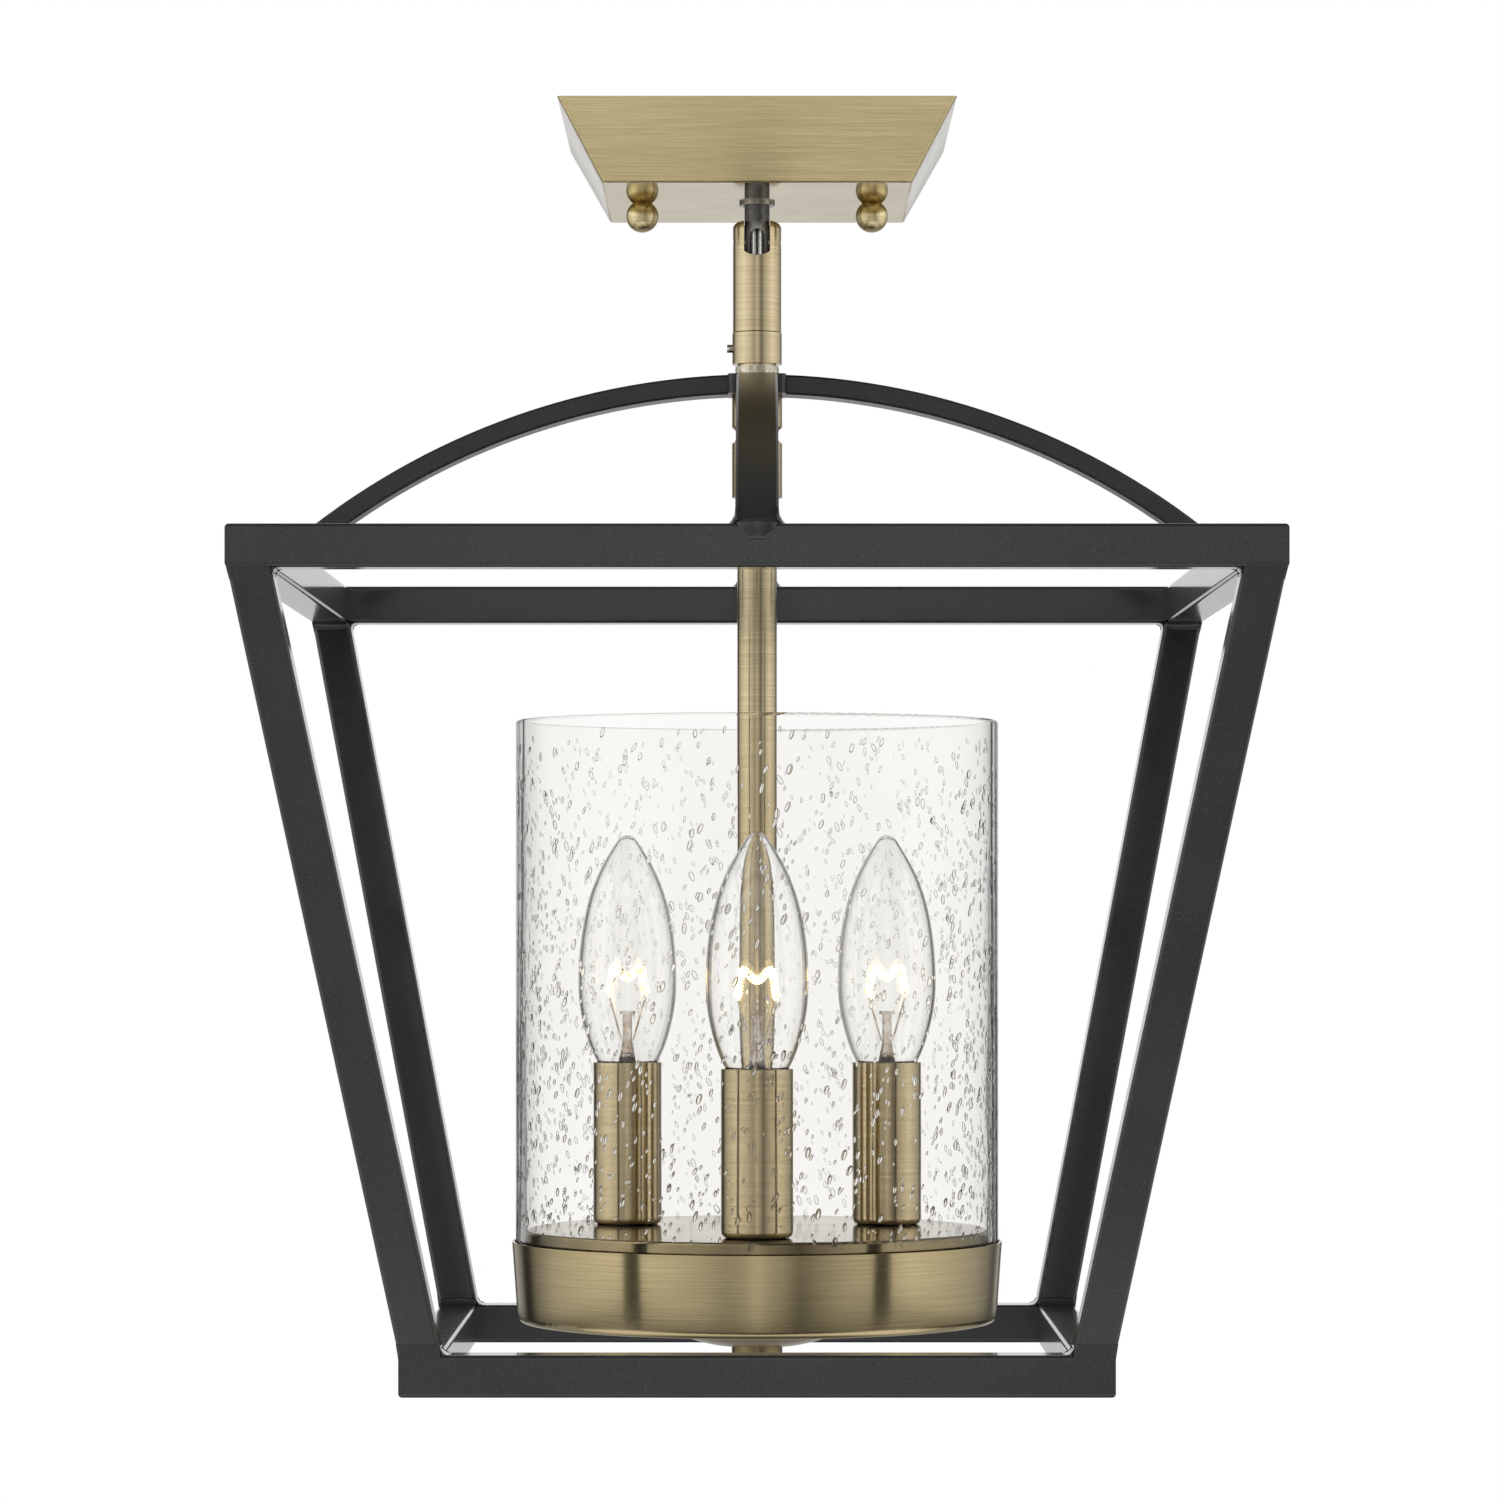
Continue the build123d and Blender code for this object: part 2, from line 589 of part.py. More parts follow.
def finial():
    """Turned nut: a short drum with a domed end and a blind thread."""
    body_low = disc_bottom - FINIAL_BODY
    shoulder = FINIAL_RADIUS - FINIAL_EDGE
    side = Polyline(
        (0, 0, finial_bottom),
        (0, 0, disc_bottom),
        (FINIAL_RADIUS, 0, disc_bottom),
        (FINIAL_RADIUS, 0, body_low),
        (shoulder, 0, body_low),
    )
    ball = (shoulder**2 + FINIAL_DOME**2) / (2 * FINIAL_DOME)
    middle = finial_bottom + ball - math.sqrt(ball**2 - (shoulder / 2) ** 2)
    dome = ThreePointArc((shoulder, 0, body_low), (shoulder / 2, 0, middle), (0, 0, finial_bottom))
    body = revolve(make_face(side + dome), Axis.Z)
    return body - rod(thread_hole, disc_bottom - FINIAL_THREAD - FLAT_GAP, disc_bottom)


def glass_cylinder():
    """Glass open at both ends, with melted-round rims."""
    glass = tube(GLASS_RADIUS, glass_inner_radius, glass_seat, glass_seat + GLASS_HEIGHT)
    return fillet(glass.faces().sort_by(Axis.Z)[-1].edges(), GLASS_RIM)


def candle_sleeve():
    """Deep-drawn sleeve with a rounded foot and a hole for its bolt."""
    outside = rod(SLEEVE_RADIUS, plate_top, sleeve_top)
    outside = fillet(outside.faces().sort_by(Axis.Z)[0].edges(), SLEEVE_BEND)
    inside = rod(SLEEVE_RADIUS - SLEEVE_WALL, sleeve_floor, sleeve_top)
    inside = fillet(inside.faces().sort_by(Axis.Z)[0].edges(), SLEEVE_BEND - SLEEVE_WALL)
    return outside - inside - rod(bolt_hole, plate_top, sleeve_floor)


def socket_body():
    """Moulded socket in a sleeve, bored for the shell above and the bolt below."""
    body = rod(socket_radius, sleeve_floor, socket_top)
    body = chamfer(body.faces().sort_by(Axis.Z)[0].edges(), SLEEVE_BEND - SLEEVE_WALL)
    body -= rod(socket_bore, socket_bottom, socket_top)
    return body - rod(bolt_hole, sleeve_floor, sleeve_floor + BOLT_IN_SOCKET)


def socket_shell():
    """Threaded metal shell that lines the socket."""
    return tube(shell_outer_radius, shell_inner_radius, socket_bottom, socket_top - SHELL_END)


def socket_bolt():
    """Hollow bolt with its hex head under the plate and its end in the socket."""
    head = hexagon(BOLT_HEAD_RADIUS, plate_bottom - BOLT_HEAD_HEIGHT, plate_bottom)
    shank = rod(BOLT_RADIUS, plate_bottom, sleeve_floor + BOLT_IN_SOCKET - FLAT_GAP)
    bore = rod(BOLT_BORE, plate_bottom - BOLT_HEAD_HEIGHT, sleeve_floor + BOLT_IN_SOCKET)
    return head + shank - bore


def bulb_profile(shrink):
    """Half outline of the torpedo glass, drawn in by a wall's thickness."""
    neck = BULB_NECK_RADIUS - shrink
    widest = BULB_RADIUS - shrink
    rise = BULB_HEIGHT - shrink
    tip = sleeve_top + rise
    low = Spline(
        (neck, 0, base_top),
        (neck + (widest - neck) * 0.38, 0, sleeve_top),
        (neck + (widest - neck) * 0.76, 0, sleeve_top + rise * 0.13),
        (widest, 0, sleeve_top + rise * 0.36),
        tangents=[(0.25, 0, 1), (0, 0, 1)],
    )
    high = Spline(
        (widest, 0, sleeve_top + rise * 0.36),
        (widest * 0.86, 0, sleeve_top + rise * 0.66),
        (widest * 0.54, 0, sleeve_top + rise * 0.855),
        (widest * 0.22, 0, sleeve_top + rise * 0.97),
        (0, 0, tip),
        tangents=[(0, 0, 1), (-1, 0, 0)],
    )
    axis = Polyline((0, 0, tip), (0, 0, base_top), (neck, 0, base_top))
    return revolve(make_face(low + high + axis), Axis.Z)


def bulb_envelope():
    """Thin torpedo glass, open at the neck."""
    return bulb_profile(0) - bulb_profile(BULB_GLASS)


def bulb_base():
    """Screw base: a threaded shell, an insulating cone and a contact tip."""
    shell_low = base_top - BASE_SHELL
    cone_low = shell_low - BASE_CONE
    tip_low = cone_low - BASE_TIP
    return turned(
        (0, base_top),
        (BASE_RADIUS, base_top),
        (BASE_RADIUS, shell_low),
        (BASE_CONE_RADIUS, cone_low),
        (BASE_TIP_RADIUS, cone_low),
        (BASE_TIP_RADIUS, tip_low),
        (0, tip_low),
    )


def bulb_mount():
    """Glass stem with its button, two lead-in wires and a filament bent in two low humps."""
    flare_top = base_top + MOUNT_FLARE_HEIGHT
    rod_top = base_top + MOUNT_ROD_HEIGHT
    button_low = rod_top - MOUNT_BUTTON_HEIGHT
    stem = turned(
        (0, base_top),
        (MOUNT_FOOT_RADIUS, base_top),
        (MOUNT_ROD_RADIUS, flare_top),
        (MOUNT_ROD_RADIUS, button_low),
        (MOUNT_BUTTON_RADIUS, button_low),
        (MOUNT_BUTTON_RADIUS, rod_top),
        (0, rod_top),
    )
    end = FILAMENT_SPAN / 2
    foot = base_top + FILAMENT_FOOT
    top = base_top + FILAMENT_TOP
    start = MOUNT_ROD_RADIUS + WIRE_RADIUS
    bend = 2 * WIRE_RADIUS
    route = FilletPolyline(
        (-start, 0, flare_top),
        (-end, 0, foot),
        (-FILAMENT_HUMP, 0, top),
        (0, 0, top - FILAMENT_DIP),
        (FILAMENT_HUMP, 0, top),
        (end, 0, foot),
        (start, 0, flare_top),
        radius=bend,
    )
    section = Plane(origin=route @ 0, z_dir=route % 0) * Circle(WIRE_RADIUS)
    wire = sweep(section, path=route)
    return Compound(children=[stem, wire])


def write(node, shape):
    """One file for each piece."""
    shape.label = node
    export_step(shape, f"parts/{node}.step")


def main():
    os.makedirs("parts", exist_ok=True)
    write("canopy_shell", canopy_shell())
    write("box_strap", box_strap())
    write("stud_strap", stud_strap())
    write("strap_eyelet", strap_eyelet())
    studs = [Pos(side * STUD_SPACING / 2, 0, 0) * canopy_stud() for side in (-1, 1)]
    write("canopy_studs", Compound(children=studs))
    write("canopy_knob_left", Pos(-STUD_SPACING / 2, 0, 0) * canopy_knob())
    write("canopy_knob_right", Pos(STUD_SPACING / 2, 0, 0) * canopy_knob())
    write("ground_screw", ground_screw())
    write("swivel_nipple", swivel_nipple())
    write("nipple_washer", nipple_washer())
    write("nipple_locknut", nipple_locknut())
    write("upper_leads", upper_leads())
    write("swivel_fork", swivel_fork())
    write("pivot_pins", pivot_pins())
    write("collar", collar())
    write("set_screw", set_screw())
    write("lock_ring", lock_ring())
    write("hub", hub())
    write("hub_nipple", hub_nipple())
    for side, angle in angles(SIDES).items():
        write(f"arch_arm_{side}", Rot(0, 0, angle) * arch_arm())
        turn = Rot(0, 0, angle + QUARTER_TURN)
        write(f"top_bar_{side}", turn * ring_bar(CAGE_TOP_WIDTH, cage_top))
        write(f"bottom_bar_{side}", turn * ring_bar(CAGE_BOTTOM_WIDTH, cage_bottom + TUBE_SIZE))
    for quarter, corner in enumerate(CORNERS):
        write(f"post_{corner}", Rot(0, 0, QUARTER_TURN * quarter) * post())
    write("upper_coupling", upper_coupling())
    write("lower_coupling", lower_coupling())
    write("stem_tube", tube(STEM_RADIUS, stem_bore, plate_top, stem_top))
    write("bottom_nipple", bottom_nipple())
    write("cup", cup())
    write("socket_plate", socket_plate())
    write("cup_spacer", cup_spacer())
    write("bottom_disc", bottom_disc())
    write("finial", finial())
    write("glass_cylinder", glass_cylinder())
    for lamp, angle in angles(LAMPS).items():
        write(f"candle_sleeve_{lamp}", at_lamp(angle, candle_sleeve()))
        write(f"bulb_envelope_{lamp}", at_lamp(angle, bulb_envelope()))
        write(f"bulb_base_{lamp}", at_lamp(angle, bulb_base()))
        write(f"bulb_mount_{lamp}", at_lamp(angle, bulb_mount()))
    for node, piece in (("bodies", socket_body()), ("shells", socket_shell()), ("bolts", socket_bolt())):
        write(f"socket_{node}", Compound(children=[at_lamp(angle, piece) for angle in angles(LAMPS).values()]))


main()
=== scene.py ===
"""Semi flush mount ceiling light: finishes, seeded glass, lit bulbs, welds and a white studio."""

import math

import bpy
import numpy as np
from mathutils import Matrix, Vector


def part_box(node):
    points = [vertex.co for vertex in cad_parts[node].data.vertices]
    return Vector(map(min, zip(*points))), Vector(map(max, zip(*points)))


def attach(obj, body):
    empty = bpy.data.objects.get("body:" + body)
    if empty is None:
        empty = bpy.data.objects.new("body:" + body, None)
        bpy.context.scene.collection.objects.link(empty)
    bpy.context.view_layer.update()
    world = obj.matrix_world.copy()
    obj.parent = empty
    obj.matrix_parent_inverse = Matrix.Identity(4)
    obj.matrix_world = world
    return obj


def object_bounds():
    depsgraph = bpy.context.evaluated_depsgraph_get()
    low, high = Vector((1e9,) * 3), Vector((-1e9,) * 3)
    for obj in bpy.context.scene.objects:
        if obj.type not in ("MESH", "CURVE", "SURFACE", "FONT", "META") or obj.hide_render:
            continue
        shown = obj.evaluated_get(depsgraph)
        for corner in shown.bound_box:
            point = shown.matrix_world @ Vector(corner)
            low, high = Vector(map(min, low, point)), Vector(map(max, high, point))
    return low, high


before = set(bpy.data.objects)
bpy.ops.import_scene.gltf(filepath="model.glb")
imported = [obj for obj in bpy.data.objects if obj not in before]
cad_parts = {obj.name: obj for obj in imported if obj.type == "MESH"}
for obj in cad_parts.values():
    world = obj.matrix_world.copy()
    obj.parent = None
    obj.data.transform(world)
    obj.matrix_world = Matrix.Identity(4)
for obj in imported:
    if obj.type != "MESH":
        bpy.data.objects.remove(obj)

CAD_LOW, CAD_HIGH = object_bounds()

bl_info = {
    "name": "Lantern ceiling light",
    "version": (1, 0, 0),
    "blender": (4, 5, 0),
    "location": "View3D > Sidebar > Ceiling light",
    "description": "Finishes, seeded glass, bulbs and studio for a lantern ceiling light",
    "category": "Object",
}

MM = 0.001
TURN = 2 * math.pi
LAMPS = ("front", "left", "right")
# Share of a turn from the front side, and from the front left corner
SIDES = {"front": 0.0, "right": 0.25, "back": 0.5, "left": 0.75}
CORNERS = {"front_left": 0.0, "front_right": 0.25, "back_right": 0.5, "back_left": 0.75}


class FinishSettings(bpy.types.PropertyGroup):
    """Colours of the finishes, and the strength of the lit filament."""

    brass: bpy.props.FloatVectorProperty(
        name="Brass", description="Aged brass in the light parts of its brushing",
        subtype="COLOR", size=3, min=0, max=1, default=(0.52, 0.43, 0.235))
    brass_shade: bpy.props.FloatVectorProperty(
        name="Brass shade", description="Aged brass in the dark lines of its brushing",
        subtype="COLOR", size=3, min=0, max=1, default=(0.38, 0.305, 0.155))
    paint: bpy.props.FloatVectorProperty(
        name="Paint", description="Satin black of the cage",
        subtype="COLOR", size=3, min=0, max=1, default=(0.007, 0.007, 0.0072))
    paint_light: bpy.props.FloatVectorProperty(
        name="Paint light", description="Satin black where the coat is thin",
        subtype="COLOR", size=3, min=0, max=1, default=(0.013, 0.013, 0.013))
    glass: bpy.props.FloatVectorProperty(
        name="Glass", description="Tint of the glass cylinder",
        subtype="COLOR", size=3, min=0, max=1, default=(0.985, 0.978, 0.962))
    filament: bpy.props.FloatVectorProperty(
        name="Filament", description="Colour of the lit filament",
        subtype="COLOR", size=3, min=0, max=1, default=(1.0, 0.84, 0.48))
    filament_light: bpy.props.FloatProperty(
        name="Filament light", description="Strength of the lit filament", min=0, default=3.4)


class SeedSettings(bpy.types.PropertyGroup):
    """Bubbles that are trapped in the glass cylinder."""

    count: bpy.props.IntProperty(
        name="Count", description="Number of bubbles", min=1, max=4000, default=3600)
    length: bpy.props.FloatProperty(
        name="Length", description="Half length of a common bubble",
        unit="LENGTH", min=0.0001, default=0.95 * MM)
    lean: bpy.props.FloatProperty(
        name="Lean", description="Lean of the bubbles to the right of upright",
        subtype="ANGLE", default=math.radians(18))
    draw: bpy.props.IntProperty(
        name="Draw", description="Seed of the random places", default=7)


class StudioSettings(bpy.types.PropertyGroup):
    """Camera, light and floor."""

    camera_distance: bpy.props.FloatProperty(
        name="Camera distance", description="From the lamp's axis to the camera",
        unit="LENGTH", default=1.6777)
    camera_height: bpy.props.FloatProperty(
        name="Camera height", description="Height of the camera against the ceiling",
        unit="LENGTH", default=-0.2508)
    lens: bpy.props.FloatProperty(
        name="Lens", description="Focal length on a sensor 36 mm wide", default=126.2)
    shift_right: bpy.props.FloatProperty(
        name="Shift right", description="Sideways shift of the picture", default=-0.0047)
    shift_up: bpy.props.FloatProperty(
        name="Shift up", description="Upward shift of the picture", default=0.1078)
    floor_drop: bpy.props.FloatProperty(
        name="Floor drop", description="From the lamp's lowest point to the floor",
        unit="LENGTH", default=0.5)
    fill: bpy.props.FloatProperty(
        name="Fill", description="Strength of the light from all round", default=0.55)


CLASSES = [FinishSettings, SeedSettings, StudioSettings]


def piece_operator(cls):
    """Adds an operator to the list of classes, in the order in which they run."""
    CLASSES.append(cls)
    return cls


# Node helpers


def new_material(name):
    """Material with one principled shader; gives the material, its tree and that shader."""
    material = bpy.data.materials.new(name)
    material.use_nodes = True
    tree = material.node_tree
    return material, tree, tree.nodes["Principled BSDF"]


def plug(tree, socket, value):
    """Joins another node's output to a socket, or sets the socket to a constant."""
    if isinstance(value, bpy.types.NodeSocket):
        tree.links.new(value, socket)
    else:
        socket.default_value = value


def set_sockets(tree, shader, **values):
    """Plugs values into a shader's sockets; a name's underscores stand for spaces."""
    for key, value in values.items():
        plug(tree, shader.inputs[key.replace("_", " ")], value)


def add(tree, kind, links=None, **settings):
    """Node of a kind. Links go into its sockets by name or place, and settings are its own."""
    node = tree.nodes.new(kind)
    for key, value in settings.items():
        setattr(node, key, value)
    for socket, value in (links or {}).items():
        plug(tree, node.inputs[socket], value)
    return node


def reckon(tree, operation, *values, **settings):
    """Value of a math operation on one or two values."""
    links = dict(enumerate(values))
    return add(tree, "ShaderNodeMath", links, operation=operation, **settings).outputs[0]


def part_of(tree, vector, axis):
    """One of the three values of a vector, by its axis."""
    return add(tree, "ShaderNodeSeparateXYZ", {0: vector}).outputs[axis]


def length_of(tree, vector):
    """Length of a vector."""
    return add(tree, "ShaderNodeVectorMath", {0: vector}, operation="LENGTH").outputs["Value"]


def object_place(tree, scale=(1, 1, 1)):
    """Object coordinates, scaled along each axis."""
    place = add(tree, "ShaderNodeTexCoord").outputs["Object"]
    return add(tree, "ShaderNodeMapping", {"Vector": place, "Scale": scale}).outputs["Vector"]


def noise(tree, scale, detail, roughness=0.6):
    """Value of a noise texture in object coordinates, near 0.5; the scale is in waves to the metre."""
    links = {"Vector": object_place(tree, scale), "Scale": 1.0, "Detail": detail, "Roughness": roughness}
    return add(tree, "ShaderNodeTexNoise", links).outputs[0]


def spread(tree, value, low, high, to_low=0.0, to_high=1.0):
    """Value carried from one range to another, held at its ends."""
    links = {"Value": value, "From Min": low, "From Max": high, "To Min": to_low, "To Max": to_high}
    return add(tree, "ShaderNodeMapRange", links).outputs["Result"]


def graded(tree, value):
    """Share from 0 to 1 in which a noise's value, near 0.5, is drawn apart."""
    return spread(tree, value, 0.3, 0.7)


def blend_colour(tree, share, first, second):
    """Colour between two, by a share from 0 to 1."""
    node = add(tree, "ShaderNodeMix", data_type="RGBA")
    plug(tree, node.inputs["Factor"], share)
    for socket, colour in ((node.inputs[6], first), (node.inputs[7], second)):
        plug(tree, socket, colour if isinstance(colour, bpy.types.NodeSocket) else (*colour, 1))
    return node.outputs[2]


def true_normal(tree):
    """Normal of the flat faces."""
    return add(tree, "ShaderNodeNewGeometry").outputs["True Normal"]


def turned_away(tree, low, high, flat=False):
    """0 where a surface is faced and 1 where it turns away, from one share of its turning to another."""
    links = {"Blend": 0.5}
    if flat:
        links["Normal"] = true_normal(tree)
    return spread(tree, add(tree, "ShaderNodeLayerWeight", links).outputs["Facing"], low, high)


def set_bump(tree, shader, height, distance, strength, flat=False):
    """Relief on a shader from a height value, on the rounded or on the flat faces."""
    links = {"Height": height, "Distance": distance, "Strength": strength}
    if flat:
        links["Normal"] = true_normal(tree)
    set_sockets(tree, shader, Normal=add(tree, "ShaderNodeBump", links).outputs["Normal"])


def base_colour(material):
    """Tree and shader of a material, and what is plugged into the shader's base colour."""
    tree = material.node_tree
    shader = tree.nodes["Principled BSDF"]
    return tree, shader, shader.inputs["Base Color"].links[0].from_socket


def dress(names, material):
    """Gives CAD nodes a material in place of their plain ones."""
    for name in names:
        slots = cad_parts[name].data.materials
        slots.clear()
        slots.append(material)


def nodes_named(*starts):
    """Names of the CAD nodes that start with one of the given words."""
    return [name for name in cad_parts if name.startswith(starts)]


# Mesh helpers


def unit_ball(rings, sides):
    """Ball of radius 1: points at (sin a cos b, sin a sin b, cos a) and its faces, poles closed."""
    a = np.linspace(0, math.pi, rings + 2)[1:-1, None]
    b = np.linspace(0, TURN, sides, endpoint=False)[None, :]
    round_part = np.stack([np.sin(a) * np.cos(b), np.sin(a) * np.sin(b), np.cos(a) + 0 * b], axis=-1)
    points = np.concatenate([[[0, 0, 1]], round_part.reshape(-1, 3), [[0, 0, -1]]])
    place = 1 + np.arange(rings * sides).reshape(rings, sides)
    after = np.roll(place, -1, axis=1)
    walls = np.stack([place[:-1], place[1:], after[1:], after[:-1]], axis=-1).reshape(-1, 4)
    top = np.stack([np.zeros(sides, int), place[0], after[0]], axis=-1)
    last = len(points) - 1
    bottom = np.stack([np.full(sides, last), after[-1], place[-1]], axis=-1)
    return points, walls, np.concatenate([top, bottom])


def closed_rings(rings):
    """Surface through a stack of closed rings, (ring, place on it, xyz), with a fan over each end."""
    count, sides = rings.shape[:2]
    points = np.concatenate([rings.reshape(-1, 3), rings[:1].mean(axis=1), rings[-1:].mean(axis=1)])
    place = np.arange(count * sides).reshape(count, sides)
    after = np.roll(place, -1, axis=1)
    walls = np.stack([place[:-1], after[:-1], after[1:], place[1:]], axis=-1).reshape(-1, 4)
    start, end = len(points) - 2, len(points) - 1
    first = np.stack([np.full(sides, start), after[0], place[0]], axis=-1)
    final = np.stack([np.full(sides, end), place[-1], after[-1]], axis=-1)
    return points, walls, np.concatenate([first, final])


def tube_surface(centres, across, radius, sides):
    """Tube: centre + radius (cos c * across + sin c * (along x across)), closed at each end."""
    along = np.gradient(centres, axis=0)
    along /= np.linalg.norm(along, axis=1, keepdims=True)
    across = across - along * np.sum(across * along, axis=1, keepdims=True)
    across /= np.linalg.norm(across, axis=1, keepdims=True)
    other = np.cross(along, across)
    c = np.linspace(0, TURN, sides, endpoint=False)[None, :, None]
    outward = np.cos(c) * across[:, None] + np.sin(c) * other[:, None]
    return closed_rings(centres[:, None] + radius * outward)


def joined(parts):
    """One set of points and faces from several."""
    points, walls, ends, base = [], [], [], 0
    for own_points, own_walls, own_ends in parts:
        points.append(own_points)
        walls.append(own_walls + base)
        ends.append(own_ends + base)
        base += len(own_points)
    return np.concatenate(points), np.concatenate(walls), np.concatenate(ends)


def make_piece(name, surface, material, body):
    """Mesh object from points and faces, smooth, riding on a body."""
    points, walls, ends = surface
    mesh = bpy.data.meshes.new(name)
    mesh.from_pydata(points.tolist(), [], walls.tolist() + ends.tolist())
    mesh.polygons.foreach_set("use_smooth", np.ones(len(mesh.polygons), bool))
    mesh.materials.append(material)
    mesh.validate()
    mesh.update()
    piece = bpy.data.objects.new(name, mesh)
    bpy.context.scene.collection.objects.link(piece)
    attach(piece, body)


def node_box(node):
    """Lowest and highest corner of a CAD node, as arrays."""
    return (np.array(corner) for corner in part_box(node))


# Finishes


FINE_HAIRS = 2.7
CLOUDS = (9, 9, 60)
SMOKED_SHARE = 0.82
PATINA_SHARE = 0.45
POLISH_SHARE = 0.25
# Pale colour painted as a reflection where flat brass is seen edge on, and the turning over which it comes
PAINTED_GLINT = (0.97, 0.96, 0.94)
PAINTED_GLINT_TURN = (0.92, 0.98)


def brushed_brass(name, roughness, stretch, painted_light_tone=(1, 1, 1), streak=(14, 14, 1500), flat=False):
    """Aged brass brushed along the level: hair lines and wider lines in height, drawn out sideways.
    Each part's tone brightens or darkens it as painted light. On flat sheet, what faces down is polished,
    and where it is seen edge on a pale reflection is painted into its colour."""
    finish = bpy.context.scene.light_finish
    material, tree, shader = new_material(name)
    lines = noise(tree, streak, detail=4, roughness=0.65)
    hairs = noise(tree, [FINE_HAIRS * part for part in streak], detail=2)
    clouds = spread(tree, noise(tree, CLOUDS, detail=2), 0.35, 0.75)
    tint = spread(tree, reckon(tree, "ADD", lines, hairs), 0.70, 1.30)
    # The tone is painted light: per part it brightens or darkens the brass to how lit or shaded that part
    # looks.
    light = [share * part for share, part in zip(painted_light_tone, finish.brass)]
    shade = [share * part for share, part in zip(painted_light_tone, finish.brass_shade)]
    base = blend_colour(tree, tint, shade, light)
    smoked = [SMOKED_SHARE * part for part in light]
    colour = blend_colour(tree, reckon(tree, "MULTIPLY", clouds, PATINA_SHARE), base, smoked)
    rough = spread(tree, lines, 0.25, 0.75, roughness * 1.25, roughness * 0.8)
    if flat:
        # Painted reflection: where the flat sheet is seen edge on, its colour turns pale.
        colour = blend_colour(tree, turned_away(tree, *PAINTED_GLINT_TURN, flat=True), colour, PAINTED_GLINT)
        upright = part_of(tree, true_normal(tree), "Z")
        rough = reckon(tree, "MULTIPLY", rough, spread(tree, upright, -0.98, -0.9, POLISH_SHARE, 1.0))
    tangent = add(tree, "ShaderNodeTangent", direction_type="RADIAL", axis="Z").outputs["Tangent"]
    set_sockets(tree, shader, Base_Color=colour, Roughness=rough, Metallic=1.0)
    set_sockets(tree, shader, Tangent=tangent, Anisotropic=stretch, Anisotropic_Rotation=0.25)
    set_bump(tree, shader, hairs, distance=0.2 * MM, strength=0.05, flat=flat)
    return material


SPECK = (0.04, 0.04, 0.04)


def satin_paint(name, gloss, blur):
    """Sprayed satin black with a faint orange peel, slow changes of gloss and fine pale specks, under a
    clear coat of a gloss and a blur."""
    finish = bpy.context.scene.light_finish
    material, tree, shader = new_material(name)
    peel = noise(tree, (700, 700, 700), detail=2)
    drift = noise(tree, (25, 25, 25), detail=3)
    specks = noise(tree, (2000, 2000, 2000), detail=1)
    colour = blend_colour(tree, graded(tree, drift), finish.paint, finish.paint_light)
    colour = blend_colour(tree, spread(tree, specks, 0.60, 0.80), colour, SPECK)
    rough = spread(tree, drift, 0.3, 0.7, 0.36, 0.44)
    set_sockets(tree, shader, Base_Color=colour, Roughness=rough, Specular_IOR_Level=0.25)
    set_sockets(tree, shader, Coat_Weight=gloss, Coat_Roughness=blur, Coat_IOR=1.4)
    set_bump(tree, shader, peel, distance=0.3 * MM, strength=0.10)
    return material


def plated_metal(name, light, shade, roughness, grain=400):
    """Plated steel with a fine mottled grain."""
    material, tree, shader = new_material(name)
    mottle = noise(tree, (grain, grain, grain), detail=4)
    colour = blend_colour(tree, graded(tree, mottle), shade, light)
    rough = spread(tree, mottle, 0.3, 0.7, roughness * 1.3, roughness)
    set_sockets(tree, shader, Base_Color=colour, Roughness=rough, Metallic=1.0)
    set_bump(tree, shader, mottle, distance=0.1 * MM, strength=0.15)
    return material


def painted_light_below(material, height, depth, colour):
    """Lets a metal fade below a height, over a depth, to a pale matt grey that paints light into the recess
    there.
    """
    tree, shader, plated = base_colour(material)
    share = spread(tree, part_of(tree, object_place(tree), "Z"), height - depth, height)
    set_sockets(tree, shader, Base_Color=blend_colour(tree, share, colour, plated), Metallic=share)


def moulded_plastic(name, light, shade, roughness):
    """Moulded plastic or insulation with a slight flow pattern."""
    material, tree, shader = new_material(name)
    flow = noise(tree, (300, 300, 120), detail=3)
    colour = blend_colour(tree, graded(tree, flow), shade, light)
    set_sockets(tree, shader, Base_Color=colour, Roughness=roughness)
    set_bump(tree, shader, flow, distance=0.1 * MM, strength=0.2)
    return material


GLASS_BODY = (0.10, 0.12, 0.10, 1)
# Turning over which glass takes its painted shade
RIM_SHADE_TURN = (0.62, 0.92)
EDGE_TURN = (0.77, 0.86)


def clear_glass(name, tint, shade, rim_shade, ior, wave, depth, smoke):
    """Clear glass with slow waves in its surface, a faint change of tint, painted shade where it turns away,
    and a body that takes light by the metre, so that it darkens where it is seen edge on."""
    material, tree, shader = new_material(name)
    waves = noise(tree, wave, detail=2)
    face = blend_colour(tree, graded(tree, waves), shade, tint)
    # Painted shade: the colour turns to the rim colour where the glass turns away.
    colour = blend_colour(tree, turned_away(tree, *RIM_SHADE_TURN), face, rim_shade)
    set_sockets(tree, shader, Base_Color=colour, Transmission_Weight=1.0, Roughness=0.0, IOR=ior)
    set_bump(tree, shader, waves, depth, strength=0.3)
    body = add(tree, "ShaderNodeVolumeAbsorption", {"Color": GLASS_BODY, "Density": smoke})
    set_sockets(tree, tree.nodes["Material Output"], Volume=body.outputs[0])
    return material


